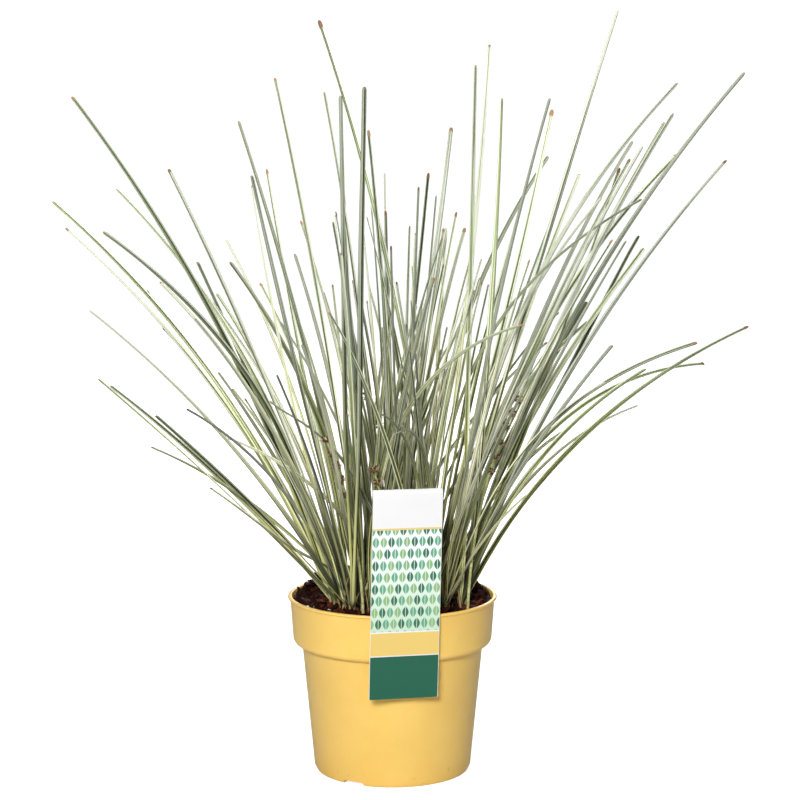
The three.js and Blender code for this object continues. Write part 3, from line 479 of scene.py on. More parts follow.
# %% [markdown]
# The mix is dark damp bark: a peaty bed with coarse chips lying in it and standing out of it, a
# little higher at the back than at the front, with a low heap round the back of the rim. A
# displaced disc alone would look like mud, and chips alone would show gaps, so there are both: a
# bed with a rough top, and several hundred separate chips. Real chips split along flat planes,
# so each is the hull of a few random points in a flat box, which gives such planes by itself.

# %% Potting mix sizes
MIX_TOP = 137.0
MIX_SLOPE = 0.085
MIX_GAP = 0.45
HEAP_RISE = 9.0
HEAP_FROM = -60.0
HEAP_TO = 40.0
HEAP_RADIUS = 66.0
HEAP_WIDTH = 18.0
EDGE_UNDER_LIP = 0.8
EDGE_SLOPE = 0.5
BED_RINGS = 60
BED_SIDES = 150
BED_SUNK = 0.4
BED_ROUGHNESS = 1.8
BED_LUMPS = 1.6
PLUG_OVER_FLOOR = 0.4
PLUG_FOOT_GAP = 2.8
PLUG_COLLAR_GAP = 0.2
PLUG_OVER_SHOULDER = 1.5


def mix_height(y):
    return MIX_TOP + MIX_SLOPE * y


def heap(x, y):
    """The mix is heaped a little more in an arc round the back of the pot."""
    share = min(max((y - HEAP_FROM) / (HEAP_TO - HEAP_FROM), 0.0), 1.0)
    back = share * share * (3 - 2 * share)
    return HEAP_RISE * back * math.exp(-(((math.hypot(x, y) - HEAP_RADIUS) / HEAP_WIDTH) ** 2))


def inner_radius(height):
    """The pot's inner wall at a height."""
    share = (height - COLLAR_LOW_HEIGHT) / (LIP_HEIGHT - COLLAR_LOW_HEIGHT)
    return COLLAR_LOW_RADIUS - WALL + (COLLAR_TOP_RADIUS - COLLAR_LOW_RADIUS) * share


def bed_height(x, y):
    """The bed's height at a place; by the wall it stays under the lip."""
    from_wall = inner_radius(LIP_HEIGHT) - math.hypot(x, y)
    highest = LIP_HEIGHT - EDGE_UNDER_LIP + EDGE_SLOPE * from_wall
    return min(mix_height(y) + heap(x, y), highest)


print("mix height at the axis and at the back, in mm:", bed_height(0, 0), bed_height(0, HEAP_RADIUS))

# %% [markdown]
# Damp bark is nearly black where it is peaty, and rust-brown where a chip has split, with fibres
# along the chip. One brown all over would melt the chips into one mass, so every chip carries a
# chance number that picks its tone, and its place before it was turned, so that the fibres
# follow it. A few bits of grit and old weed are pale.


# %% Bark finish
def make_bark():
    material, kit, shader = new_material("bark_mix_fine")
    grain_place = kit.attribute("chip_place", "Vector")
    chance = kit.attribute("chip_chance")
    stretched = kit.add("ShaderNodeMapping", Vector=grain_place, Scale=(90.0, 420.0, 420.0)).outputs[0]
    fibres = kit.noise(stretched, 1.0, 5.0, 0.65)
    coordinates = kit.object_place()
    patches = kit.noise(coordinates, 120.0, 4.0, 0.6)
    dark = kit.blend(kit.smooth(fibres, 0.3, 0.7), paint(12, 3, 1), paint(46, 17, 10))
    rust = kit.blend(kit.smooth(fibres, 0.35, 0.65), paint(46, 16, 10), paint(94, 42, 26))
    colour = kit.blend(kit.smooth(chance, 0.6, 0.8), dark, rust)
    peaty = kit.times(kit.smooth(patches, 0.55, 0.75), 0.5)
    colour = kit.blend(peaty, colour, paint(52, 25, 18))
    pale = kit.smooth(chance, 1.5, 1.6)
    bits = kit.blend(kit.smooth(chance, 1.8, 1.9), paint(150, 158, 120), paint(206, 204, 192))
    colour = kit.blend(pale, colour, bits)
    height = kit.plus(fibres, kit.times(kit.noise(coordinates, 700.0, 3.0), 0.5))
    roughness = kit.smooth(patches, 0.3, 0.7, 0.62, 0.95)
    dress(kit, shader, colour, roughness, kit.bump(height, 0.7, 0.0009), specular=0.1)
    return material


bark_finish = make_bark()


# %% The bed of the mix
def bed_point(x, y, edge):
    """A point of the rough top, drawn in where the wall is narrower than at the lip."""
    rough = noise.fractal(Vector((x, y, 0.0)) * 0.16, 0.9, 2.1, 5)
    lumps = noise.noise(Vector((x, y, 9.0)) * 0.05)
    height = bed_height(x, y) - BED_SUNK + BED_ROUGHNESS * rough + BED_LUMPS * lumps
    shrink = min(1.0, (inner_radius(height) - MIX_GAP) / edge)
    return Vector((x * shrink, y * shrink, height)) * MM


def mix_bed():
    """A plug that fills the pot, with a rough sloping top; returns points and faces."""
    plug = [
        (0.0, FOOT_RECESS + WALL + PLUG_OVER_FLOOR),
        (BODY_LOW_RADIUS - WALL - PLUG_FOOT_GAP, FOOT_RECESS + WALL + PLUG_OVER_FLOOR),
        (BODY_TOP_RADIUS - WALL - MIX_GAP, COLLAR_LOW_HEIGHT - SHOULDER_RADIUS),
        (COLLAR_LOW_RADIUS - WALL - MIX_GAP - PLUG_COLLAR_GAP, COLLAR_LOW_HEIGHT + PLUG_OVER_SHOULDER),
    ]
    points = []
    rows = [add_row(points, radius, height, BED_SIDES) for radius, height in plug]
    edge = inner_radius(LIP_HEIGHT) - MIX_GAP
    for ring in range(BED_RINGS, -1, -1):
        share = ring / BED_RINGS
        first = len(points)
        for side in range(BED_SIDES if ring else 1):
            angle = 2 * math.pi * side / BED_SIDES
            x = math.cos(angle) * share * edge
            y = math.sin(angle) * share * edge
            points.append(bed_point(x, y, edge))
        rows.append(list(range(first, len(points))))
    return points, row_faces(rows, BED_SIDES)


mix_points, mix_faces = mix_bed()
print("bed of the mix:", len(mix_faces), "faces")

# %% Sizes of chips, crumbs and pale bits
CHIP_COUNT = 760
CRUMB_COUNT = 900
PALE_BIT_COUNT = 26
CHIP_LENGTH = (4.0, 16.0)
CRUMB_LENGTH = (1.6, 4.4)
PALE_BIT_LENGTH = (2.5, 5.0)
CHIP_SLIMNESS = (0.35, 0.75)
CHIP_FLATNESS = (0.18, 0.4)
THINNEST_CHIP = 1.0
CHIP_CORNERS = 15
CHIP_TAPER = 0.35
CHIP_TILT = 0.42
CRUMB_TILT = 0.8
CHIP_ROLL = 0.5
PALE_BIT_BEARING = (230, 10)
PALE_BIT_RADIUS = (60, 76)
PALE_BIT_RISE = 2.2
PALE_CHANCES = (1.7, 2.0)


# %% Make one chip, and find its place
def chip_size(draw, kind):
    if kind == "chip":
        length = draw.uniform(*CHIP_LENGTH) * draw.uniform(0.6, 1.0)
    else:
        length = draw.uniform(*(CRUMB_LENGTH if kind == "crumb" else PALE_BIT_LENGTH))
    width = length * draw.uniform(*CHIP_SLIMNESS)
    return length, width, max(length * draw.uniform(*CHIP_FLATNESS), THINNEST_CHIP)


def chip_hull(draw, length, width, thickness):
    """The hull of random points in a flat box: a split chip with flat planes and sharp edges."""
    bm = bmesh.new()
    for _ in range(CHIP_CORNERS):
        corner = Vector([draw.uniform(-1, 1) for _ in range(3)])
        reach = max(abs(value) for value in corner)
        corner = corner / reach * draw.uniform(0.82, 1.0)
        taper = 1 - CHIP_TAPER * abs(corner.x) ** 2
        bm.verts.new((corner.x * length / 2, corner.y * width / 2 * taper, corner.z * thickness / 2))
    bmesh.ops.convex_hull(bm, input=bm.verts)
    bmesh.ops.delete(bm, geom=[vert for vert in bm.verts if not vert.link_faces], context="VERTS")
    bm.verts.index_update()
    points = [vert.co.copy() for vert in bm.verts]
    faces = [[vert.index for vert in face.verts] for face in bm.faces]
    bm.free()
    return points, faces


def chip_spot(draw, kind, length):
    """Anywhere on the bed; pale bits lie together at the front left."""
    bearing = draw.uniform(0, 2 * math.pi)
    radius = (inner_radius(MIX_TOP) - 1.0 - length * 0.3) * math.sqrt(draw.random())
    if kind == "pale":
        bearing = math.radians(draw.gauss(*PALE_BIT_BEARING))
        radius = draw.uniform(*PALE_BIT_RADIUS)
    return radius * math.cos(bearing), radius * math.sin(bearing)


def chip_turn(draw, kind):
    tilt = draw.gauss(0, CHIP_TILT if kind == "chip" else CRUMB_TILT)
    roll = draw.gauss(0, CHIP_ROLL)
    turn = Matrix.Rotation(draw.uniform(0, 2 * math.pi), 3, "Z")
    return tilt, turn @ Matrix.Rotation(tilt, 3, "Y") @ Matrix.Rotation(roll, 3, "X")


def keep_inside(corners, x, y):
    """Moves a chip towards the axis, as far as it would stick through the pot's wall."""
    reach = max(math.hypot(corner.x, corner.y) - inner_radius(corner.z) for corner in corners)
    if reach <= -MIX_GAP:
        return corners
    inward = Vector((x, y, 0)).normalized() * (reach + MIX_GAP + 0.1)
    return [corner - inward for corner in corners]


# %% Scatter them on the bed
def scatter_chips(draw, points, faces, places, chances):
    """Lays chips and crumbs on the bed, the long ones flat and some of them tilted up."""
    kinds = ["chip"] * CHIP_COUNT + ["crumb"] * CRUMB_COUNT + ["pale"] * PALE_BIT_COUNT
    for kind in kinds:
        length, width, thickness = chip_size(draw, kind)
        hull, hull_faces = chip_hull(draw, length, width, thickness)
        x, y = chip_spot(draw, kind, length)
        tilt, turn = chip_turn(draw, kind)
        rise = draw.uniform(-0.5, 0.55) * thickness + 0.35 * length * abs(math.sin(tilt))
        if kind == "pale":
            rise = PALE_BIT_RISE + draw.uniform(0.5, 1.5)
        centre = Vector((x, y, bed_height(x, y) + rise))
        moved = keep_inside([turn @ corner + centre for corner in hull], x, y)
        start = len(points)
        points.extend(corner * MM for corner in moved)
        places.extend(corner * MM for corner in hull)
        faces.extend([start + index for index in face] for face in hull_faces)
        pale_chance = draw.choice(PALE_CHANCES)
        chance = draw.random()
        chances.extend([pale_chance if kind == "pale" else chance] * len(moved))


mix_places = [Vector(point) for point in mix_points]
mix_chances = [0.1] * len(mix_points)
scatter_chips(random.Random(412), mix_points, mix_faces, mix_places, mix_chances)
mix = mesh_piece("bark_mix_bed", mix_points, mix_faces, bark_finish, smooth=False)
point_values(mix, "chip_chance", mix_chances)
chip_place = mix.data.attributes.new("chip_place", "FLOAT_VECTOR", "POINT")
chip_place.data.foreach_set("vector", np.array([tuple(p) for p in mix_places], np.float32).ravel())
take_place(mix, "bark_mix", "potting_mix")

# %% [markdown]
# A blade of this rush is a long flat strip of even width, folded a little along its middle like
# the keel of a boat, stiff, and blunt at its narrow tip. The solids hold each blade as rings of
# three corners: the two margins and the keel. Reading those corners back keeps every blade on
# its own course. A smooth curve runs through the rings' middles, and a rounded, channelled
# section with real thickness runs along it. Higher up, each blade is turned about its own line,
# so that more of its flat side faces the front, and the tall and leaning ones are turned most.

# %% Read the blades' rings from a shoot
WELD = 2e-5
MOST_RINGS = 5
FEWEST_RINGS = 3


def weld_corners(mesh):
    """Corners that lie on each other become one, and each knows its neighbours."""
    corners = np.array([vert.co for vert in mesh.vertices])
    keys = [tuple(key) for key in np.round(corners / WELD).astype(int)]
    number = {}
    for key in keys:
        number.setdefault(key, len(number))
    ids = [number[key] for key in keys]
    places = [None] * len(number)
    for index, corner in zip(ids, corners):
        places[index] = Vector(corner)
    near = [set() for _ in places]
    for face in mesh.polygons:
        own = [ids[vert] for vert in face.vertices]
        for one in own:
            near[one].update(other for other in own if other != one)
    return places, near


def blade_rings(places, near):
    """From each tip down, the rings of three corners that the blade is made of."""
    blades = []
    for tip in range(len(near)):
        seen = {tip}
        level = {tip}
        rings = []
        while len(rings) < MOST_RINGS:
            following = set().union(*(near[index] for index in level)) - seen
            joined = all(following - {index} <= near[index] for index in following)
            if len(following) != 3 or not joined:
                break
            rings.append([places[index] for index in following])
            seen |= following
            level = following
        if len(rings) >= FEWEST_RINGS:
            blades.append((places[tip], rings))
    return blades


# %% Order each ring's corners, and find the foot
ROOT_STEP = 1.2 * MM
ROOT_OVER_FOOT = 21 * MM
FLATTEST_SLOPE = -0.2


def order_ring(ring, last_side):
    """The longest side joins the margins; the corner left over is the keel."""
    pairs = [(0, 1, 2), (1, 2, 0), (2, 0, 1)]
    one, two, keel = max(pairs, key=lambda pair: (ring[pair[0]] - ring[pair[1]]).length)
    side = ring[one] - ring[two]
    if last_side is not None and side.dot(last_side) < 0:
        side = -side
    middle = (ring[one] + ring[two]) / 2
    centre = (ring[0] + ring[1] + ring[2]) / 3
    return {"centre": centre, "side": side, "keel": ring[keel] - middle}


def shoot_foot(places):
    """The middle of the shoot's foot, and the way its blades are stacked."""
    lowest = min(place.z for place in places)
    foot = [place for place in places if place.z < lowest + 0.5 * MM]
    middle = sum(foot, Vector()) / len(foot)
    far = max(foot, key=lambda place: (place - middle).length)
    return middle, (far - middle).normalized()


def read_shoot(name):
    places, near = weld_corners(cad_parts[name].data)
    middle, stack = shoot_foot(places)
    blades = []
    for tip, rings in blade_rings(places, near):
        ordered = []
        for ring in rings:
            ordered.append(order_ring(ring, ordered[-1]["side"] if ordered else None))
        low = ordered[-1]["centre"]
        slope = (low - ordered[-2]["centre"]).normalized()
        reach = (middle.z + ROOT_OVER_FOOT - low.z) / min(slope.z, FLATTEST_SLOPE)
        order = (low + slope * reach - middle).dot(stack)
        blades.append({"tip": tip, "rings": ordered, "order": order})
    blades.sort(key=lambda blade: blade["order"])
    for index, blade in enumerate(blades):
        place = ROOT_STEP * (index - (len(blades) - 1) / 2)
        blade["root"] = middle + stack * place + Vector((0, 0, ROOT_OVER_FOOT))
    return {"name": name, "foot": middle, "stack": stack, "blades": blades}


shoots = [read_shoot(name) for name in shoot_names]
print("blades read:", sum(len(shoot["blades"]) for shoot in shoots))


# %% A smooth course through a few points
def natural_spline(knots, values, at):
    """Values on a natural cubic spline through the given ones; values may be vectors."""
    knots = np.asarray(knots, float)
    values = np.asarray(values, float)
    count = len(knots)
    gaps = np.diff(knots)
    system = np.eye(count)
    right = np.zeros_like(values)
    for row in range(1, count - 1):
        system[row, row - 1] = gaps[row - 1]
        system[row, row] = 2 * (gaps[row - 1] + gaps[row])
        system[row, row + 1] = gaps[row]
        ahead = (values[row + 1] - values[row]) / gaps[row]
        behind = (values[row] - values[row - 1]) / gaps[row - 1]
        right[row] = 6 * (ahead - behind)
    bends = np.linalg.solve(system, right)
    spans = np.clip(np.searchsorted(knots, at, side="right") - 1, 0, count - 2)
    gap = gaps[spans][:, None]
    far = (knots[spans + 1] - at)[:, None]
    near = (at - knots[spans])[:, None]
    low, high = values[spans], values[spans + 1]
    bend_low, bend_high = bends[spans], bends[spans + 1]
    curve = bend_low * far**3 / (6 * gap) + bend_high * near**3 / (6 * gap)
    curve += (low / gap - bend_low * gap / 6) * far
    curve += (high / gap - bend_high * gap / 6) * near
    return curve


# %% Sweep a channelled section along a course
LOW_POINTS = 9
TOP_POINTS = 7
LOW_ACROSS = np.linspace(-1, 1, LOW_POINTS)
TOP_ACROSS = np.linspace(0.86, -0.86, TOP_POINTS)
SECTION_ACROSS = np.concatenate([LOW_ACROSS, TOP_ACROSS])
SECTION_POINTS = LOW_POINTS + TOP_POINTS
ON_TOP = np.array([0.0] * LOW_POINTS + [1.0] * TOP_POINTS)


def unit(rows):
    return rows / np.linalg.norm(rows, axis=1, keepdims=True)


class Sheaf:
    """Strips of one mesh: their points, faces, and the values that the finish reads."""

    def __init__(self):
        self.points = []
        self.faces = []
        names = ("across", "share", "run", "chance", "kind", "upper")
        self.values = {name: [] for name in names}
        self.map = []
        self.columns = 0

    def add_strip(self, centres, sides, tops, widths, fold, thickness, chance, kind):
        """Rings along centres; sides and tops are unit vectors, widths half the strip's width."""
        start = len(self.points)
        stations = len(centres)
        steps = np.linalg.norm(np.diff(centres, axis=0), axis=1)
        run = np.concatenate([[0], np.cumsum(steps)])
        share = run / run[-1]
        hollow = np.abs(SECTION_ACROSS) ** 1.5 - 1
        thick = 1 - 0.55 * SECTION_ACROSS**2
        for station in range(stations):
            half = widths[station]
            height = fold * half * (hollow + 0.45) + ON_TOP * thick * thickness[station]
            ring = centres[station] + np.outer(SECTION_ACROSS * half, sides[station])
            ring = ring + np.outer(height, tops[station])
            self.points.extend(ring)
            self.values["across"].extend(SECTION_ACROSS)
            self.values["upper"].extend(ON_TOP)
            same = {"share": share[station], "run": run[station], "chance": chance, "kind": kind}
            for name, value in same.items():
                self.values[name].extend([value] * SECTION_POINTS)
        self.faces += tube_faces(stations, SECTION_POINTS, start)
        for low, high in zip(share, share[1:]):
            for point in range(SECTION_POINTS):
                self.map_face(point, low, high)
        self.map.extend([(0.0, 0.0)] * SECTION_POINTS * 2)
        self.columns += 2

    def map_face(self, point, low, high):
        """Upper and lower sides of a strip get a column each on the map, with length upwards."""
        upper = point >= LOW_POINTS - 1
        column = self.columns + (1 if upper else 0)
        first = SECTION_ACROSS[point]
        second = SECTION_ACROSS[(point + 1) % SECTION_POINTS]
        for across, share in ((first, low), (second, low), (second, high), (first, high)):
            self.map.append((column + 0.5 + 0.4 * across, share))

    def to_piece(self, name, material):
        piece = mesh_piece(name, self.points, self.faces, material)
        for value_name, values in self.values.items():
            point_values(piece, "blade_" + value_name, values)
        layer = piece.data.uv_layers.new(name="OFBake")
        spread = np.array(self.map, np.float32)
        spread[:, 0] /= self.columns
        spread[:, 1] = 0.01 + 0.98 * spread[:, 1]
        layer.data.foreach_set("uv", spread.ravel())
        return piece


# %% Blade sizes
LEAF_KIND = 0.0
SHEATH_KIND = 1.0
BLADE_STATIONS = 42
BLADE_THICKNESS = 0.5 * MM
FULL_THICKNESS_AT = 1.5 * MM
FOLD_RANGE = (0.4, 0.75)
WIDTH_GAIN = (0.76, 1.08)
WIDTH_RIPPLE = 0.05
TALL_BLADES = (0.32, 0.42)
LEANING_BLADES = (0.1, 0.4)
TIP_ROUNDING = 3.2 * MM
TIP_FULLNESS = 0.62
TIP_STEPS = (1.0, 0.72, 0.48, 0.28, 0.12, 0.03)
FRONT = np.array([0.0, -1.0, 0.0])
FRONT_TURN = (0.3, 0.8)
TURN_FROM = 0.2
TURN_TO = 0.5
TALL_TURN_FROM = 0.35
TALL_TURN_OVER = 0.3
LEAST_TURN = 0.1
SIDEWAYS = 0.45
OVER_CARD_HALF = 40 * MM
OVER_CARD_Y = -120 * MM
OVER_CARD_TOP = 340 * MM
PAINTED_SHADE_CHANCE = 0.335
print("stations along a blade:", BLADE_STATIONS + len(TIP_STEPS) - 1)


# %% Turn and width of a blade
def between_rings(at, knots, rows):
    """Values at places along a blade, straight between the ones known at its rings."""
    rows = np.array(rows)
    return np.stack([np.interp(at, knots, rows[:, axis]) for axis in range(rows.shape[1])], axis=1)


def blade_places(length):
    """Distances along a blade: even at first, then close together round its blunt tip."""
    even = np.linspace(0, length - TIP_ROUNDING, BLADE_STATIONS)
    return np.concatenate([even[:-1], length - TIP_ROUNDING * np.array(TIP_STEPS)])


def turn_to_front(along, share, sides, tops, turn, tall):
    """Turns a blade about its own line, so that more of its flat side is seen from the front."""
    level = unit(np.cross(along, FRONT))
    angle = np.arctan2(np.sum(np.cross(level, sides) * along, axis=1), np.sum(level * sides, axis=1))
    angle = np.unwrap(angle)
    flat = math.pi * round(float(np.median(angle)) / math.pi)
    rising = np.clip((share - TURN_FROM) / (TURN_TO - TURN_FROM), 0, 1)
    leaning = np.clip(np.abs(along[:, 0]) / SIDEWAYS, 0, 1)
    upper = np.clip((share - TALL_TURN_FROM) / TALL_TURN_OVER, 0, 1)
    shown = LEAST_TURN + (1 - LEAST_TURN) * np.maximum(leaning, tall * upper)
    by = ((flat - angle) * turn * rising**2 * (3 - 2 * rising) * shown)[:, None]
    return [rows * np.cos(by) + np.cross(along, rows) * np.sin(by) for rows in (sides, tops)]


def blade_sides(along, at, knots, ends):
    """The ways that the blade's flat side and its hollow face, read from the solid's rings."""
    sides = between_rings(at, knots, unit(np.array([tuple(ring["side"]) for ring in ends])))
    keels = between_rings(at, knots, unit(np.array([tuple(ring["keel"]) for ring in ends])))
    sides = unit(sides - along * np.sum(sides * along, axis=1, keepdims=True))
    tops = -np.cross(along, sides)
    facing = np.where(np.sum(tops * keels, axis=1, keepdims=True) > 0, -1, 1)
    return sides, unit(tops * facing)


def blade_widths(blade, at, knots, ends, tall):
    """Half the width along a blade: broader on tall and leaning ones, rounded off at the tip."""
    tip = blade["tip"]
    leaning = np.interp(abs(tip.x - blade["root"].x) / knots[-1], LEANING_BLADES, (0, 1))
    gain = np.interp(max(tall, leaning), (0, 1), WIDTH_GAIN)
    widths = np.interp(at, knots, [ring["side"].length / 2 * gain for ring in ends])
    widths = np.maximum(widths, TIP_FULLNESS * widths.max())
    ripple = [noise.noise(Vector((place * 24, tip.x * 90, tip.y * 90))) for place in at]
    past = np.clip(1 - (knots[-1] - at) / TIP_ROUNDING, 0, 1)
    return widths * (1 + WIDTH_RIPPLE * np.array(ripple)) * np.sqrt(1 - 0.9 * past**2)


# %% Grow one blade on its rings
def over_card(tip):
    """Blades that arch over the card, where the photo shows them dark, get painted shade."""
    return abs(tip.x) < OVER_CARD_HALF and tip.y < OVER_CARD_Y and tip.z < OVER_CARD_TOP


def grow_blade(sheaf, blade, draw):
    rings = blade["rings"][::-1]
    ends = [rings[0]] + rings + [rings[-1]]
    centres = [blade["root"]] + [ring["centre"] for ring in rings] + [blade["tip"]]
    knots = np.concatenate([[0], np.cumsum([(b - a).length for a, b in zip(centres, centres[1:])])])
    at = blade_places(knots[-1])
    course = natural_spline(knots, [tuple(centre) for centre in centres], at)
    along = unit(np.gradient(course, axis=0))
    tall = float(np.interp(knots[-1], TALL_BLADES, (0, 1)))
    sides, tops = blade_sides(along, at, knots, ends)
    sides, tops = turn_to_front(along, at / at[-1], sides, tops, draw.uniform(*FRONT_TURN), tall)
    widths = blade_widths(blade, at, knots, ends, tall)
    thickness = BLADE_THICKNESS * np.clip(widths / FULL_THICKNESS_AT, 0.35, 1.0)
    fold = draw.uniform(*FOLD_RANGE)
    chance = draw.random()
    # A blade that arches over the card takes a chance number that darkens it all over: painted shade.
    if over_card(blade["tip"]):
        chance = PAINTED_SHADE_CHANCE
    sheaf.add_strip(course, sides, tops, widths, fold, thickness, chance, LEAF_KIND)


# %% [markdown]
# Old sheaths wrap a shoot's foot: short dry husks, brown and split, that hug it and lean away at
# their tips. A ring of brown colour on the blades would stay flat, so each husk is a short
# hollow strip of its own, swept like a blade, and set a little to the side of the last one.

# %% Old sheaths round a shoot's foot
SCALES_PER_SHOOT = 4
SCALE_LENGTH = (12.0, 34.0)
SCALE_HALF_WIDTH = (0.8, 1.6)
SCALE_STATIONS = 16
SCALE_FOLD = 0.75
SCALE_THICKNESS = 0.25 * MM
SCALE_RISE = 12 * MM
SCALE_HUG = 0.72
FOOT_HALF_LENGTH = 4.2 * MM
FOOT_HALF_DEPTH = 2.6 * MM


def grow_scale(sheaf, shoot, index, draw):
    """A dry sheath: a short hollow strip that hugs the foot and leans away at its tip."""
    stack = shoot["stack"]
    across = Vector((-stack.y, stack.x, 0))
    bearing = 2 * math.pi * (index + draw.uniform(-0.3, 0.3)) / SCALES_PER_SHOOT
    out = (stack * math.cos(bearing) + across * math.sin(bearing)).normalized()
    reach = math.hypot(FOOT_HALF_LENGTH * math.cos(bearing), FOOT_HALF_DEPTH * math.sin(bearing))
    length = draw.uniform(*SCALE_LENGTH) * MM
    lean = draw.uniform(0.02, 0.22)
    curl = draw.uniform(0.0, 0.18)
    base = shoot["foot"] + out * (reach * SCALE_HUG) + Vector((0, 0, SCALE_RISE))
    shares = np.linspace(0, 1, SCALE_STATIONS)
    centres = []
    for share in shares:
        rise = length * share
        sway = length * (lean * share**1.3 + curl * share**3)
        centres.append(tuple(base + Vector((0, 0, rise)) + out * sway))
    centres = np.array(centres)
    along = unit(np.gradient(centres, axis=0))
    tangent = Vector((-out.y, out.x, 0))
    sides = np.tile(np.array(tangent), (SCALE_STATIONS, 1))
    tops = unit(np.cross(sides, along))
    if np.dot(tops[0], np.array(out)) > 0:
        tops = -tops
    widest = draw.uniform(*SCALE_HALF_WIDTH) * MM
    widths = widest * (1 - shares**2.2) ** 0.9 + 0.08 * MM
    thickness = np.full(SCALE_STATIONS, SCALE_THICKNESS)
    chance = draw.random()
    sheaf.add_strip(centres, sides, tops, widths, SCALE_FOLD, thickness, chance, SHEATH_KIND)


# %% [markdown]
# The blades are variegated. Their middle is olive or grey-green with fine lines, a darker stripe
# runs beside it, and the wide margins are cream. Some blades are deep green all over, others
# nearly white. They are yellow-green near the foot, and many have brown burnt tips. The colour
# also holds painted light and shade: the cream is painted brighter low down, the blades that
# arch over the card take the deep green as painted shade, and some blades get near-black painted
# shade at the foot. One colour for each blade would look like plastic, and an image would have to
# be laid out over every blade. Here the finish reads values stored on the mesh: how far across,
# how far along, and a chance number for each blade. Noise that is stretched along the blade makes
# the lines. The dry sheaths at the foot use the same finish with another kind number.


# %% Values on the blades, and lines drawn along them
PALER_UP_FROM = 0.1
PALER_UP_TO = 0.3
DARK_STRIPE = (0.34, 0.46)
CREAM_MARGIN = (0.53, 0.59)
FOOT_SHADE_TO = 0.17


def blade_inputs(kit):
    """The values stored on the blades, and more chance numbers made from the stored one."""
    given = {}
    for name in ("across", "share", "run", "chance", "kind", "upper"):
        given[name] = kit.attribute("blade_" + name)
    given["offset"] = kit.times(given["chance"], 73.0)
    given["second"] = kit.math("FRACT", kit.times(given["chance"], 17.3))
    given["third"] = kit.math("FRACT", kit.times(given["chance"], 41.9))
    given["fourth"] = kit.math("FRACT", kit.times(given["chance"], 89.7))
    return given


def blade_lines(kit, given, width, length, layer):
    """Noise drawn out along the blade; width and length set how fine its stripes are."""
    x = kit.plus(kit.times(given["across"], width), given["offset"])
    y = kit.times(given["run"], length)
    return kit.noise(kit.place(x, y, kit.plus(given["offset"], layer)), 1.0, 2.0, 0.5)


# %% Stripes and margins
def striped_colour(kit, given):
    """Olive or grey-green with dark and pale lines, often one pale half, cream margins, cream painted
    brighter low down, and some blades darkened, partly as painted shade.
    """
    fine = blade_lines(kit, given, 2.4, 3.0, 0.0)
    other = blade_lines(kit, given, 1.6, 2.5, 31.0)
    broad = blade_lines(kit, given, 0.9, 3.0, 57.0)
    lined = kit.smooth(fine, 0.46, 0.54)
    high = kit.smooth(given["run"], PALER_UP_FROM, PALER_UP_TO)
    olive = kit.blend(lined, paint(28, 44, 8), paint(146, 166, 80))
    grey = kit.blend(lined, paint(64, 82, 38), paint(182, 196, 138))
    green = kit.blend(kit.smooth(given["second"], 0.45, 0.7), olive, grey)
    green = kit.blend(kit.times(high, 0.4), green, paint(164, 176, 148))
    pale_low = kit.blend(lined, paint(178, 188, 120), paint(238, 240, 196))
    pale_high = kit.blend(lined, paint(182, 190, 166), paint(226, 229, 210))
    pale = kit.blend(high, pale_low, pale_high)
    # Painted light: the cream is yellower low down and painted brighter there, where less light
    # reaches, and greyer and duller high up.
    cream_low = kit.blend(kit.smooth(broad, 0.35, 0.65), paint(246, 244, 176), paint(254, 253, 228))
    cream_high = kit.blend(kit.smooth(broad, 0.35, 0.65), paint(216, 220, 192), paint(232, 235, 220))
    cream = kit.blend(high, cream_low, cream_high)
    wander = kit.times(kit.math("SUBTRACT", broad, 0.5), 0.9)
    shift = kit.smooth(given["second"], 0.0, 1.0, -0.7, 0.7)
    side = kit.plus(kit.math("SUBTRACT", given["across"], shift), wander)
    half = kit.times(kit.smooth(side, -0.04, 0.08), kit.smooth(given["third"], 0.25, 0.45))
    colour = kit.blend(half, green, pale)
    groove = kit.smooth(kit.math("ABSOLUTE", kit.plus(side, 0.1)), 0.16, 0.06, 0.0, 0.8)
    colour = kit.blend(groove, colour, kit.blend(high, paint(34, 46, 12), paint(84, 98, 58)))
    colour = kit.blend(kit.smooth(other, 0.54, 0.57), colour, cream)
    colour = kit.blend(kit.smooth(other, 0.43, 0.4, 0.0, 0.85), colour, paint(38, 50, 16))
    edge = kit.plus(kit.math("ABSOLUTE", given["across"]), kit.times(wander, 0.4))
    low_down = kit.smooth(given["run"], 0.34, 0.16, 0.2, 0.85)
    beside = kit.times(kit.smooth(edge, *DARK_STRIPE), low_down)
    colour = kit.blend(beside, colour, paint(40, 54, 16))
    margin = kit.smooth(edge, *CREAM_MARGIN)
    colour = kit.blend(margin, colour, cream)
    # Some blades are darkened all over: a deeper green on some, and painted shade on the blades that
    # arch over the card, whose chance number falls here.
    deep_green_and_painted_shade = kit.blend(0.75, colour, paint(58, 80, 38), "MULTIPLY")
    depth = kit.times(kit.smooth(given["fourth"], 0.31, 0.16), kit.smooth(high, 0.0, 1.0, 0.9, 0.7))
    colour = kit.blend(depth, colour, deep_green_and_painted_shade)
    glow = kit.smooth(given["fourth"], 0.55, 0.8, 0.0, 0.6)
    return kit.blend(glow, colour, paint(244, 245, 232), "SOFT_LIGHT"), fine, broad
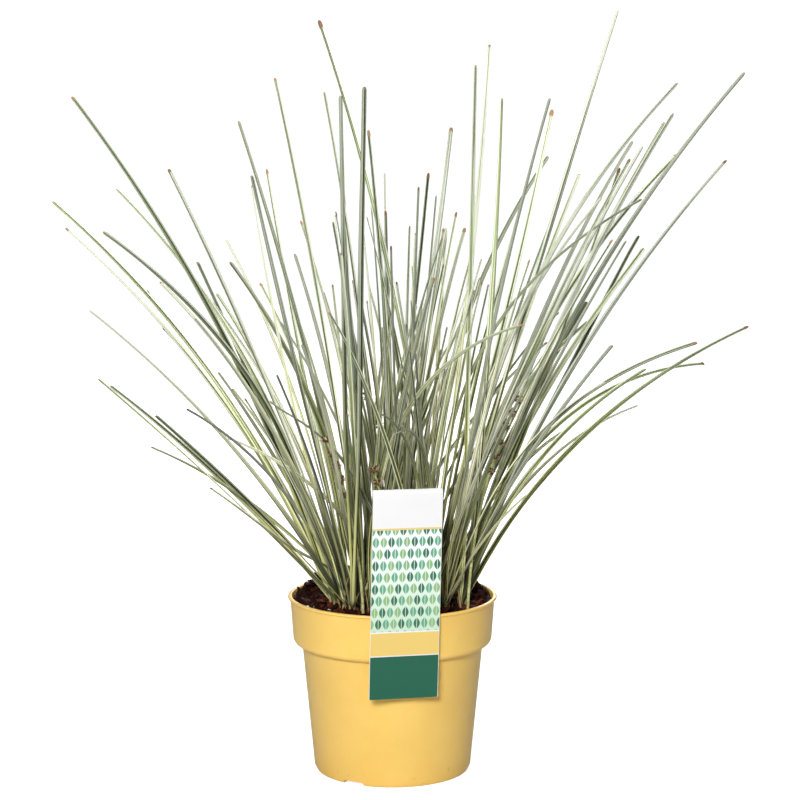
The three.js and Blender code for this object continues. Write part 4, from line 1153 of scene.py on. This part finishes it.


# %% Age, and painted shade at the foot
def aged_colour_and_foot_shade(kit, given, colour, fine):
    """Yellow-green low down, grey on some backs, burnt tips, a few patches of rust, and near-black
    painted shade at the foot of some blades.
    """
    low_tone = kit.blend(kit.smooth(fine, 0.45, 0.55), paint(40, 56, 8), paint(246, 243, 156))
    low = kit.smooth(given["run"], 0.16, 0.03, 0.0, 0.62)
    colour = kit.blend(low, colour, low_tone)
    lower = kit.math("SUBTRACT", 1.0, given["upper"])
    back = kit.times(lower, kit.smooth(given["third"], 0.6, 0.9))
    colour = kit.blend(kit.times(back, 0.5), colour, paint(112, 118, 112))
    burnt_from = kit.smooth(given["second"], 0.15, 0.9, 1.004, 0.984)
    burnt = kit.smooth(kit.math("SUBTRACT", given["share"], burnt_from), 0.0, 0.006)
    burnt_tone = kit.blend(given["third"], paint(186, 146, 108), paint(112, 80, 60))
    colour = kit.blend(burnt, colour, burnt_tone)
    rust_place = kit.place(given["across"], kit.times(given["run"], 30.0), given["offset"])
    rust = kit.smooth(kit.noise(rust_place, 1.4, 3.0, 0.6), 0.72, 0.78)
    colour = kit.blend(kit.times(rust, 0.7), colour, paint(158, 102, 62))
    # Painted shade: the foot of the blades whose chance number falls here turns near-black, where shade
    # falls between the blades.
    foot_shade_reach = kit.smooth(given["run"], FOOT_SHADE_TO, 0.02, 0.0, 0.92)
    painted_foot_shade = kit.times(foot_shade_reach, kit.smooth(given["fourth"], 0.45, 0.65))
    return kit.blend(painted_foot_shade, colour, paint(26, 34, 8))


def sheath_colour(kit, given, fine):
    """Dry reddish brown and straw, darkest at the foot."""
    height = kit.smooth(kit.plus(given["share"], kit.times(fine, 0.4)), 0.2, 0.9)
    dry = kit.blend(height, paint(70, 36, 26), paint(170, 138, 96))
    return kit.blend(kit.smooth(fine, 0.5, 0.58, 0.0, 0.6), dry, paint(204, 184, 130))


# %% The whole blade finish
def make_leaf():
    material, kit, shader = new_material("leaf_blade_fine")
    given = blade_inputs(kit)
    colour, fine, broad = striped_colour(kit, given)
    colour = aged_colour_and_foot_shade(kit, given, colour, fine)
    colour = kit.blend(given["kind"], colour, sheath_colour(kit, given, fine))
    ribs = kit.math("SINE", kit.times(given["across"], 38.0))
    normal = kit.bump(kit.plus(kit.times(ribs, 0.5), fine), 0.4, 0.0002)
    roughness = kit.smooth(broad, 0.3, 0.7, 0.48, 0.62)
    dress(kit, shader, colour, roughness, normal, specular=0.22)
    return material


leaf_finish = make_leaf()

# %% Grow all the shoots
for number, shoot in enumerate(shoots):
    draw = random.Random(9000 + number)
    sheaf = Sheaf()
    for blade in shoot["blades"]:
        grow_blade(sheaf, blade, draw)
    for index in range(SCALES_PER_SHOOT):
        grow_scale(sheaf, shoot, index, draw)
    piece = sheaf.to_piece("rush_" + shoot["name"], leaf_finish)
    take_place(piece, "leaf_blade", shoot["name"])

# %% [markdown]
# Low between the blades stand the flower spikes: a pale stalk with tight rings of rust-red buds,
# and stiff spiny bracts that stand out from each ring. Each whorl could be one lump with a
# bump map, but its spines make the outline, so every spine and bud is its own small form, set
# round the stalk on a golden-angle spiral and joined in the spike's mesh.

# %% Flower spike sizes
SPIKES = [
    {"root": (-23, -40), "top": (-52, -74, 284), "whorls": 5},
    {"root": (2, -24), "top": (-15, -58, 258), "whorls": 4},
    {"root": (60, -35), "top": (99, -62, 314), "whorls": 6},
    {"root": (12, 48), "top": (-22, 92, 296), "whorls": 5},
]
SPIKE_FOOT = 121.0
STALK_RADIUS = 1.25
STALK_BEND_SHARE = 0.55
STALK_STEPS = 40
WHORL_SPACING = 13.0
WHORL_HALF_HEIGHT = 2.6
GOLDEN_ANGLE = math.radians(137.5)
SPINES_PER_WHORL = 13
SPINE_REACH = (4.2, 7.2)
SPINE_RADIUS = 0.62
BUDS_PER_WHORL = 15
BUD_RADIUS = (0.6, 0.95)
FORM_STEPS = 6
STALK_KIND = 0.0
SPINE_KIND = 1.0
BUD_KIND = 2.0
print("spikes:", len(SPIKES), "whorls:", sum(spike["whorls"] for spike in SPIKES))

# %% [markdown]
# The stalk is pale green and straw, the spiny bracts run from brown to a pale tip, and the buds
# are dark rust. Three materials would do, but one piece with one finish is simpler to keep, so
# each form stores a kind number, and how far along it a point lies, and the finish reads both.


# %% Spike finish
def make_spike_finish():
    material, kit, shader = new_material("flower_spike_fine")
    kind = kit.attribute("spike_kind")
    share = kit.attribute("spike_share")
    tone = kit.group(uneven_tone, Patch_Scale=350.0, Grain_Scale=2500.0)
    patches = kit.smooth(tone.outputs["Patches"], 0.35, 0.65)
    stalk = kit.blend(patches, paint(150, 156, 96), paint(196, 194, 140))
    spine = kit.blend(share, paint(104, 72, 46), paint(212, 192, 156))
    bud = kit.blend(kit.smooth(tone.outputs["Grain"], 0.4, 0.6), paint(58, 32, 24), paint(116, 80, 50))
    colour = kit.blend(kit.smooth(kind, 0.4, 0.6), stalk, spine)
    colour = kit.blend(kit.smooth(kind, 1.4, 1.6), colour, bud)
    roughness = kit.smooth(tone.outputs["Patches"], 0.3, 0.7, 0.5, 0.75)
    dress(kit, shader, colour, roughness, kit.bump(tone.outputs["Grain"], 0.4, 0.0003))
    return material


spike_finish = make_spike_finish()


# %% Build a spike from a stalk, spines and buds
def quadratic(start, bend, end, share):
    return start * (1 - share) ** 2 + bend * 2 * share * (1 - share) + end * share**2


class Spray:
    """Round forms of one mesh with the values that the spike's finish reads."""

    def __init__(self):
        self.points = []
        self.faces = []
        self.kinds = []
        self.shares = []

    def add_tube(self, course, radii, sides, kind, flatness=1.0):
        start = len(self.points)
        side = Vector((1, 0, 0))
        for index, point in enumerate(course):
            before = course[max(index - 1, 0)]
            after = course[min(index + 1, len(course) - 1)]
            along = (after - before).normalized()
            side = (side - along * side.dot(along)).normalized()
            other = along.cross(side)
            for corner in range(sides):
                angle = 2 * math.pi * corner / sides
                out = side * math.cos(angle) + other * math.sin(angle) * flatness
                self.points.append(point + out * radii[index])
                self.kinds.append(kind)
                self.shares.append(index / (len(course) - 1))
        self.faces += tube_faces(len(course), sides, start)

    def to_piece(self, name, material):
        piece = mesh_piece(name, self.points, self.faces, material)
        point_values(piece, "spike_kind", self.kinds)
        point_values(piece, "spike_share", self.shares)
        return piece


# %% Grow the whorls along the stalk
def grow_bud(spray, centre, along, out, draw):
    """A small round bud that leans out from the stalk."""
    rise = draw.uniform(-2.2, 3.4) * MM
    reach = draw.uniform(1.6, 2.8) * MM
    base = centre + along * rise + out * reach * 0.5
    way = (out * 0.9 + along * draw.uniform(0.1, 0.9)).normalized()
    size = draw.uniform(*BUD_RADIUS) * MM
    steps = range(FORM_STEPS + 1)
    course = [base + way * (2.9 * size * step / FORM_STEPS) for step in steps]
    rounding = [math.sin(math.pi * (0.08 + 0.84 * step / FORM_STEPS)) for step in steps]
    spray.add_tube(course, [size * max(share, 0.15) for share in rounding], 7, BUD_KIND)


def grow_spine(spray, centre, along, out, draw):
    """A stiff bract: it starts on the stalk, bends outwards and runs to a point."""
    base = centre + along * draw.uniform(-2.0, 1.0) * MM + out * STALK_RADIUS * 0.5 * MM
    reach = draw.uniform(*SPINE_REACH) * MM
    lift = draw.uniform(0.35, 0.95)
    tip = base + (out + along * lift).normalized() * reach
    bend = base + out * reach * 0.55
    steps = range(FORM_STEPS + 1)
    course = [quadratic(base, bend, tip, step / FORM_STEPS) for step in steps]
    radii = [SPINE_RADIUS * MM * (1 - 0.93 * step / FORM_STEPS) for step in steps]
    spray.add_tube(course, radii, 5, SPINE_KIND, 0.5)


def grow_whorl(spray, centre, along, draw):
    side = along.orthogonal().normalized()
    for index in range(BUDS_PER_WHORL):
        out = Matrix.Rotation(GOLDEN_ANGLE * index, 3, along) @ side
        grow_bud(spray, centre, along, out, draw)
    for index in range(SPINES_PER_WHORL):
        out = Matrix.Rotation(GOLDEN_ANGLE * index + 0.7, 3, along) @ side
        grow_spine(spray, centre, along, out, draw)


def grow_spike(spike, draw):
    spray = Spray()
    foot_height = SPIKE_FOOT + MIX_SLOPE * spike["root"][1]
    foot = Vector((*spike["root"], foot_height)) * MM
    top = Vector(spike["top"]) * MM
    bend = Vector((foot.x, foot.y, foot.z + (top.z - foot.z) * STALK_BEND_SHARE))
    steps = range(STALK_STEPS + 1)
    course = [quadratic(foot, bend, top, step / STALK_STEPS) for step in steps]
    radii = [STALK_RADIUS * MM * (1 - 0.35 * step / STALK_STEPS) for step in steps]
    spray.add_tube(course, radii, 10, STALK_KIND, 0.75)
    length = sum((b - a).length for a, b in zip(course, course[1:]))
    for whorl in range(spike["whorls"]):
        share = 1 - (WHORL_HALF_HEIGHT + WHORL_SPACING * whorl) * MM / length
        centre = quadratic(foot, bend, top, share)
        ahead = quadratic(foot, bend, top, min(share + 0.02, 1.0))
        grow_whorl(spray, centre, (ahead - centre).normalized(), draw)
    return spray


for number, spike in enumerate(SPIKES):
    spray = grow_spike(spike, random.Random(300 + number))
    piece = spray.to_piece(f"spiny_flower_spike_{number + 1}", spike_finish)
    take_place(piece, "flower_spike", f"flower_spike_{number + 1}")

# %% [markdown]
# The card is one thin strip of printed plastic that hangs over the rim: its front hangs outside
# the pot, and its narrower leg stands in the mix. It is a flat sheet bent along a line, so its
# section is a line with thickness, and rows of points across its width make the mesh.

# %% Label card sizes
CARD_FRONT = [(-81.9, 78.4), (-86.6, 146.0), (-93.3, 242.6), (-92.6, 245.7), (-91.2, 246.0)]
CARD_LEG = [(-91.8, 246.0), (-90.0, 242.6), (-73.4, 146.0), (-72.2, 114.0)]
CARD_WIDTH = 55.4
CARD_LEG_WIDTH = 36.0
CARD_THICKNESS = 0.9
CARD_TURN = 13.0
CARD_LEAN = 0.4
CARD_OFFSET = -9.5
CARD_CORNER = 0.9
CORNER_ROWS = 5
CARD_ROWS = 60
CARD_COLUMNS = 24
SHARP_CARD_EDGE = math.radians(40)
print("card front and leg across, in mm:", CARD_WIDTH, CARD_LEG_WIDTH)

# %% [markdown]
# The card is printed in flat bands: white, a thin yellow line, a panel of green leaves, yellow
# and a deep teal. An image could hold the print, but bands and leaves are simple enough to be
# worked out from how far across and how far up the card a point lies, and they stay sharp at
# any size. The print is a generic one.


# %% Printed card finish
TEAL_BAND = (-0.01, 0.204)
YELLOW_BAND = (0.211, 0.317)
LEAF_PANEL = (0.326, 0.806)
YELLOW_LINE = (0.808, 0.814)
BAND_EDGE = 0.002
WHITE_RIM = (0.492, 0.496)
PANEL_COLUMNS = 9.0
PANEL_ROWS = 18.0


def band(kit, value, places):
    low, high = places
    rising = kit.smooth(value, low - BAND_EDGE, low)
    falling = kit.smooth(value, high + BAND_EDGE, high)
    return kit.times(rising, falling)


def leaf_panel(kit, across, up):
    """Rows of small leaves in three greens, every other row moved by half a leaf."""
    row = kit.times(up, PANEL_ROWS)
    odd = kit.math("FLOORED_MODULO", kit.math("FLOOR", row), 2.0)
    column = kit.plus(kit.times(across, PANEL_COLUMNS), kit.times(odd, 0.5))
    beside = kit.math("ABSOLUTE", kit.math("SUBTRACT", kit.math("FRACT", column), 0.5))
    above = kit.math("SUBTRACT", kit.math("FRACT", row), 0.5)
    outline = kit.plus(kit.times(beside, 2.0), kit.times(kit.times(above, above), 3.6))
    leaf = kit.times(kit.smooth(outline, 0.86, 0.78), kit.smooth(beside, 0.03, 0.05))
    by_column = kit.times(kit.math("FLOOR", column), 0.37)
    by_row = kit.times(kit.math("FLOOR", row), 0.61)
    turn = kit.math("FRACT", kit.plus(by_column, by_row))
    greens = kit.blend(kit.smooth(turn, 0.3, 0.35), paint(44, 104, 78), paint(96, 158, 128))
    greens = kit.blend(kit.smooth(turn, 0.68, 0.72), greens, paint(134, 172, 120))
    ground = kit.blend(kit.smooth(up, 0.3, 0.78), paint(190, 214, 190), paint(226, 236, 232))
    return kit.blend(leaf, ground, greens)


def make_card():
    material, kit, shader = new_material("label_card_fine")
    across = kit.attribute("card_across")
    up = kit.attribute("card_up")
    tone = kit.group(uneven_tone, Patch_Scale=60.0, Grain_Scale=1800.0)
    white = paint(222, 221, 222)
    yellow = paint(220, 190, 106)
    colour = kit.blend(band(kit, up, LEAF_PANEL), white, leaf_panel(kit, across, up))
    colour = kit.blend(band(kit, up, YELLOW_BAND), colour, yellow)
    colour = kit.blend(band(kit, up, TEAL_BAND), colour, paint(14, 88, 66))
    colour = kit.blend(band(kit, up, YELLOW_LINE), colour, yellow)
    rim = kit.smooth(kit.math("ABSOLUTE", across), *WHITE_RIM)
    colour = kit.blend(rim, colour, white)
    colour = kit.blend(kit.attribute("card_front"), white, colour)
    roughness = kit.smooth(tone.outputs["Patches"], 0.3, 0.7, 0.28, 0.4)
    dress(kit, shader, colour, roughness, kit.bump(tone.outputs["Grain"], 0.05, 0.0001))
    return material


card_finish = make_card()


# %% Bend the card
def card_frame():
    """Turns a point of the card's own frame, in mm, into the plant's frame."""
    lean = Matrix.Rotation(math.radians(CARD_LEAN), 4, "Y")
    up = Matrix.Translation((0, 0, LIP_HEIGHT))
    down = Matrix.Translation((CARD_OFFSET, 0, -LIP_HEIGHT))
    return Matrix.Rotation(math.radians(CARD_TURN), 4, "Z") @ up @ lean @ down


def line_points(line, rounded_start):
    """Points on a bent line, close together at its rounded end, with the line's way at each."""
    corners = np.array(line, float)
    knots = np.concatenate([[0], np.cumsum(np.linalg.norm(np.diff(corners, axis=0), axis=1))])
    at = CARD_CORNER * (1 - np.cos(np.linspace(0, math.pi / 2, CORNER_ROWS)))
    at = np.concatenate([at, np.linspace(CARD_CORNER, knots[-1], CARD_ROWS)[1:]])
    if not rounded_start:
        at = knots[-1] - at[::-1]
    points = np.stack([np.interp(at, knots, corners[:, axis]) for axis in range(2)], axis=1)
    return points, unit(np.gradient(points, axis=0)), at / knots[-1]


def corner_inset(from_end):
    """How far a rounded corner stands in from the card's side, at a distance from its end."""
    if from_end >= CARD_CORNER:
        return 0.0
    return CARD_CORNER - math.sqrt(max(CARD_CORNER**2 - (CARD_CORNER - from_end) ** 2, 0))


def card_faces(rows, columns):
    """Faces of both sheets, and of the edge that joins them all the way round."""
    faces = []
    sheet = rows * columns
    for row in range(rows - 1):
        for column in range(columns - 1):
            a = row * columns + column
            b = a + columns
            faces.append((a, a + 1, b + 1, b))
            faces.append((sheet + b, sheet + b + 1, sheet + a + 1, sheet + a))
    rim = list(range(columns))
    rim += [row * columns + columns - 1 for row in range(1, rows)]
    rim += [(rows - 1) * columns + column for column in range(columns - 2, -1, -1)]
    rim += [row * columns for row in range(rows - 2, 0, -1)]
    for one, two in zip(rim, rim[1:] + rim[:1]):
        faces.append((two, one, sheet + one, sheet + two))
    return faces


# %% Make the card's front and leg
def card_strip(line, width, front):
    """A sheet along a bent line, with rounded corners at its lower end and real thickness."""
    points, ways, shares = line_points(line, front)
    length = float(np.sum(np.linalg.norm(np.diff(points, axis=0), axis=1)))
    placed = card_frame()
    verts, values = [], []
    end = 0.0 if front else 1.0
    for face in (-1, 1):
        for (y, z), (way_y, way_z), share in zip(points, ways, shares):
            half = width / 2 - corner_inset(abs(share - end) * length)
            offset = face * CARD_THICKNESS / 2
            for column in range(CARD_COLUMNS + 1):
                across = column / CARD_COLUMNS - 0.5
                place = Vector((across * 2 * half, y - way_z * offset, z + way_y * offset))
                verts.append((placed @ place) * MM)
                values.append((across, share, 1.0 if (front and face > 0) else 0.0))
    return verts, card_faces(len(points), CARD_COLUMNS + 1), values


def make_card_piece():
    verts, faces, values = card_strip(CARD_FRONT, CARD_WIDTH, True)
    leg_verts, leg_faces, leg_values = card_strip(CARD_LEG, CARD_LEG_WIDTH, False)
    shift = len(verts)
    faces += [tuple(index + shift for index in face) for face in leg_faces]
    piece = mesh_piece("label_card", verts + leg_verts, faces, card_finish)
    piece.data.set_sharp_from_angle(angle=SHARP_CARD_EDGE)
    columns = list(zip(*(values + leg_values)))
    for name, column in zip(("card_across", "card_up", "card_front"), columns):
        point_values(piece, name, column)
    return piece


take_place(make_card_piece(), "label_card", "plant_label")

# %% [markdown]
# The plant stood before plain white, in soft and nearly frontal light that leaves no hard
# shadow. A white floor and sky would throw too much light back on its sides. So both glow for
# the camera alone, and the sky only fills the shade a little. A soft key light stands in front,
# a little to the left, a weaker one hangs above, and one behind keeps the back from going dark.

# %% Floor and sky
FLOOR_HALF = 6.0
FLOOR_GLOW_FROM = 0.12
FLOOR_GLOW_TO = 0.9
SKY_FILL = 0.11
SKY_WHITE = 1.1
FLOOR_GLOW = (0.86, 1.0)


def make_floor():
    material, kit, shader = new_material("pale_floor")
    tone = kit.group(uneven_tone, Patch_Scale=3.0, Grain_Scale=200.0)
    colour = kit.blend(tone.outputs["Patches"], paint(198, 198, 197), paint(206, 206, 205))
    kit.feed(shader.inputs["Base Color"], colour)
    shader.inputs["Roughness"].default_value = 0.9
    shader.inputs["Emission Color"].default_value = (1, 1, 1, 1)
    seen = kit.add("ShaderNodeLightPath").outputs["Is Camera Ray"]
    place = kit.object_place()
    away = kit.add("ShaderNodeVectorMath", {"operation": "LENGTH"}, Vector=place).outputs["Value"]
    glow = kit.smooth(away, FLOOR_GLOW_FROM, FLOOR_GLOW_TO, *FLOOR_GLOW)
    kit.feed(shader.inputs["Emission Strength"], kit.times(seen, glow))
    corners = [(-FLOOR_HALF, -FLOOR_HALF, 0), (FLOOR_HALF, -FLOOR_HALF, 0)]
    corners += [(FLOOR_HALF, FLOOR_HALF, 0), (-FLOOR_HALF, FLOOR_HALF, 0)]
    floor = mesh_piece("pale_floor", corners, [(0, 1, 2, 3)], material, smooth=False)


def make_sky():
    """White where the camera sees it, and dimmer where it only fills the shade."""
    world = bpy.data.worlds.new("even_sky")
    world.use_nodes = True
    kit = NodeKit(world.node_tree)
    seen = kit.add("ShaderNodeLightPath").outputs["Is Camera Ray"]
    background = world.node_tree.nodes["Background"]
    background.inputs["Color"].default_value = (1, 1, 1, 1)
    strength = kit.plus(kit.times(seen, SKY_WHITE - SKY_FILL), SKY_FILL)
    kit.feed(background.inputs["Strength"], strength)
    bpy.context.scene.world = world


make_floor()
make_sky()

# %% Soft lights
SOFT_LIGHTS = {
    "key_light": {"place": (-0.4, -2.7, 1.4), "aim": (0, 0, 0.25), "side": 0.6, "power": 91.0},
    "top_light": {"place": (0.1, -0.3, 2.6), "aim": (0, 0, 0.2), "side": 1.2, "power": 23.0},
    "back_light": {"place": (0.3, 2.6, 1.5), "aim": (0, 0, 0.25), "side": 0.9, "power": 40.0},
}


def soft_light(name, place, aim, side, power):
    data = bpy.data.lights.new(name, "AREA")
    data.shape = "SQUARE"
    data.size = side
    data.energy = power
    light = bpy.data.objects.new(name, data)
    light.location = place
    light.rotation_euler = (Vector(aim) - Vector(place)).to_track_quat("-Z", "Y").to_euler()
    bpy.context.scene.collection.objects.link(light)
    print(name, "watts:", power)


for name, settings in SOFT_LIGHTS.items():
    soft_light(name, **settings)
bpy.context.scene.view_settings.view_transform = "Standard"
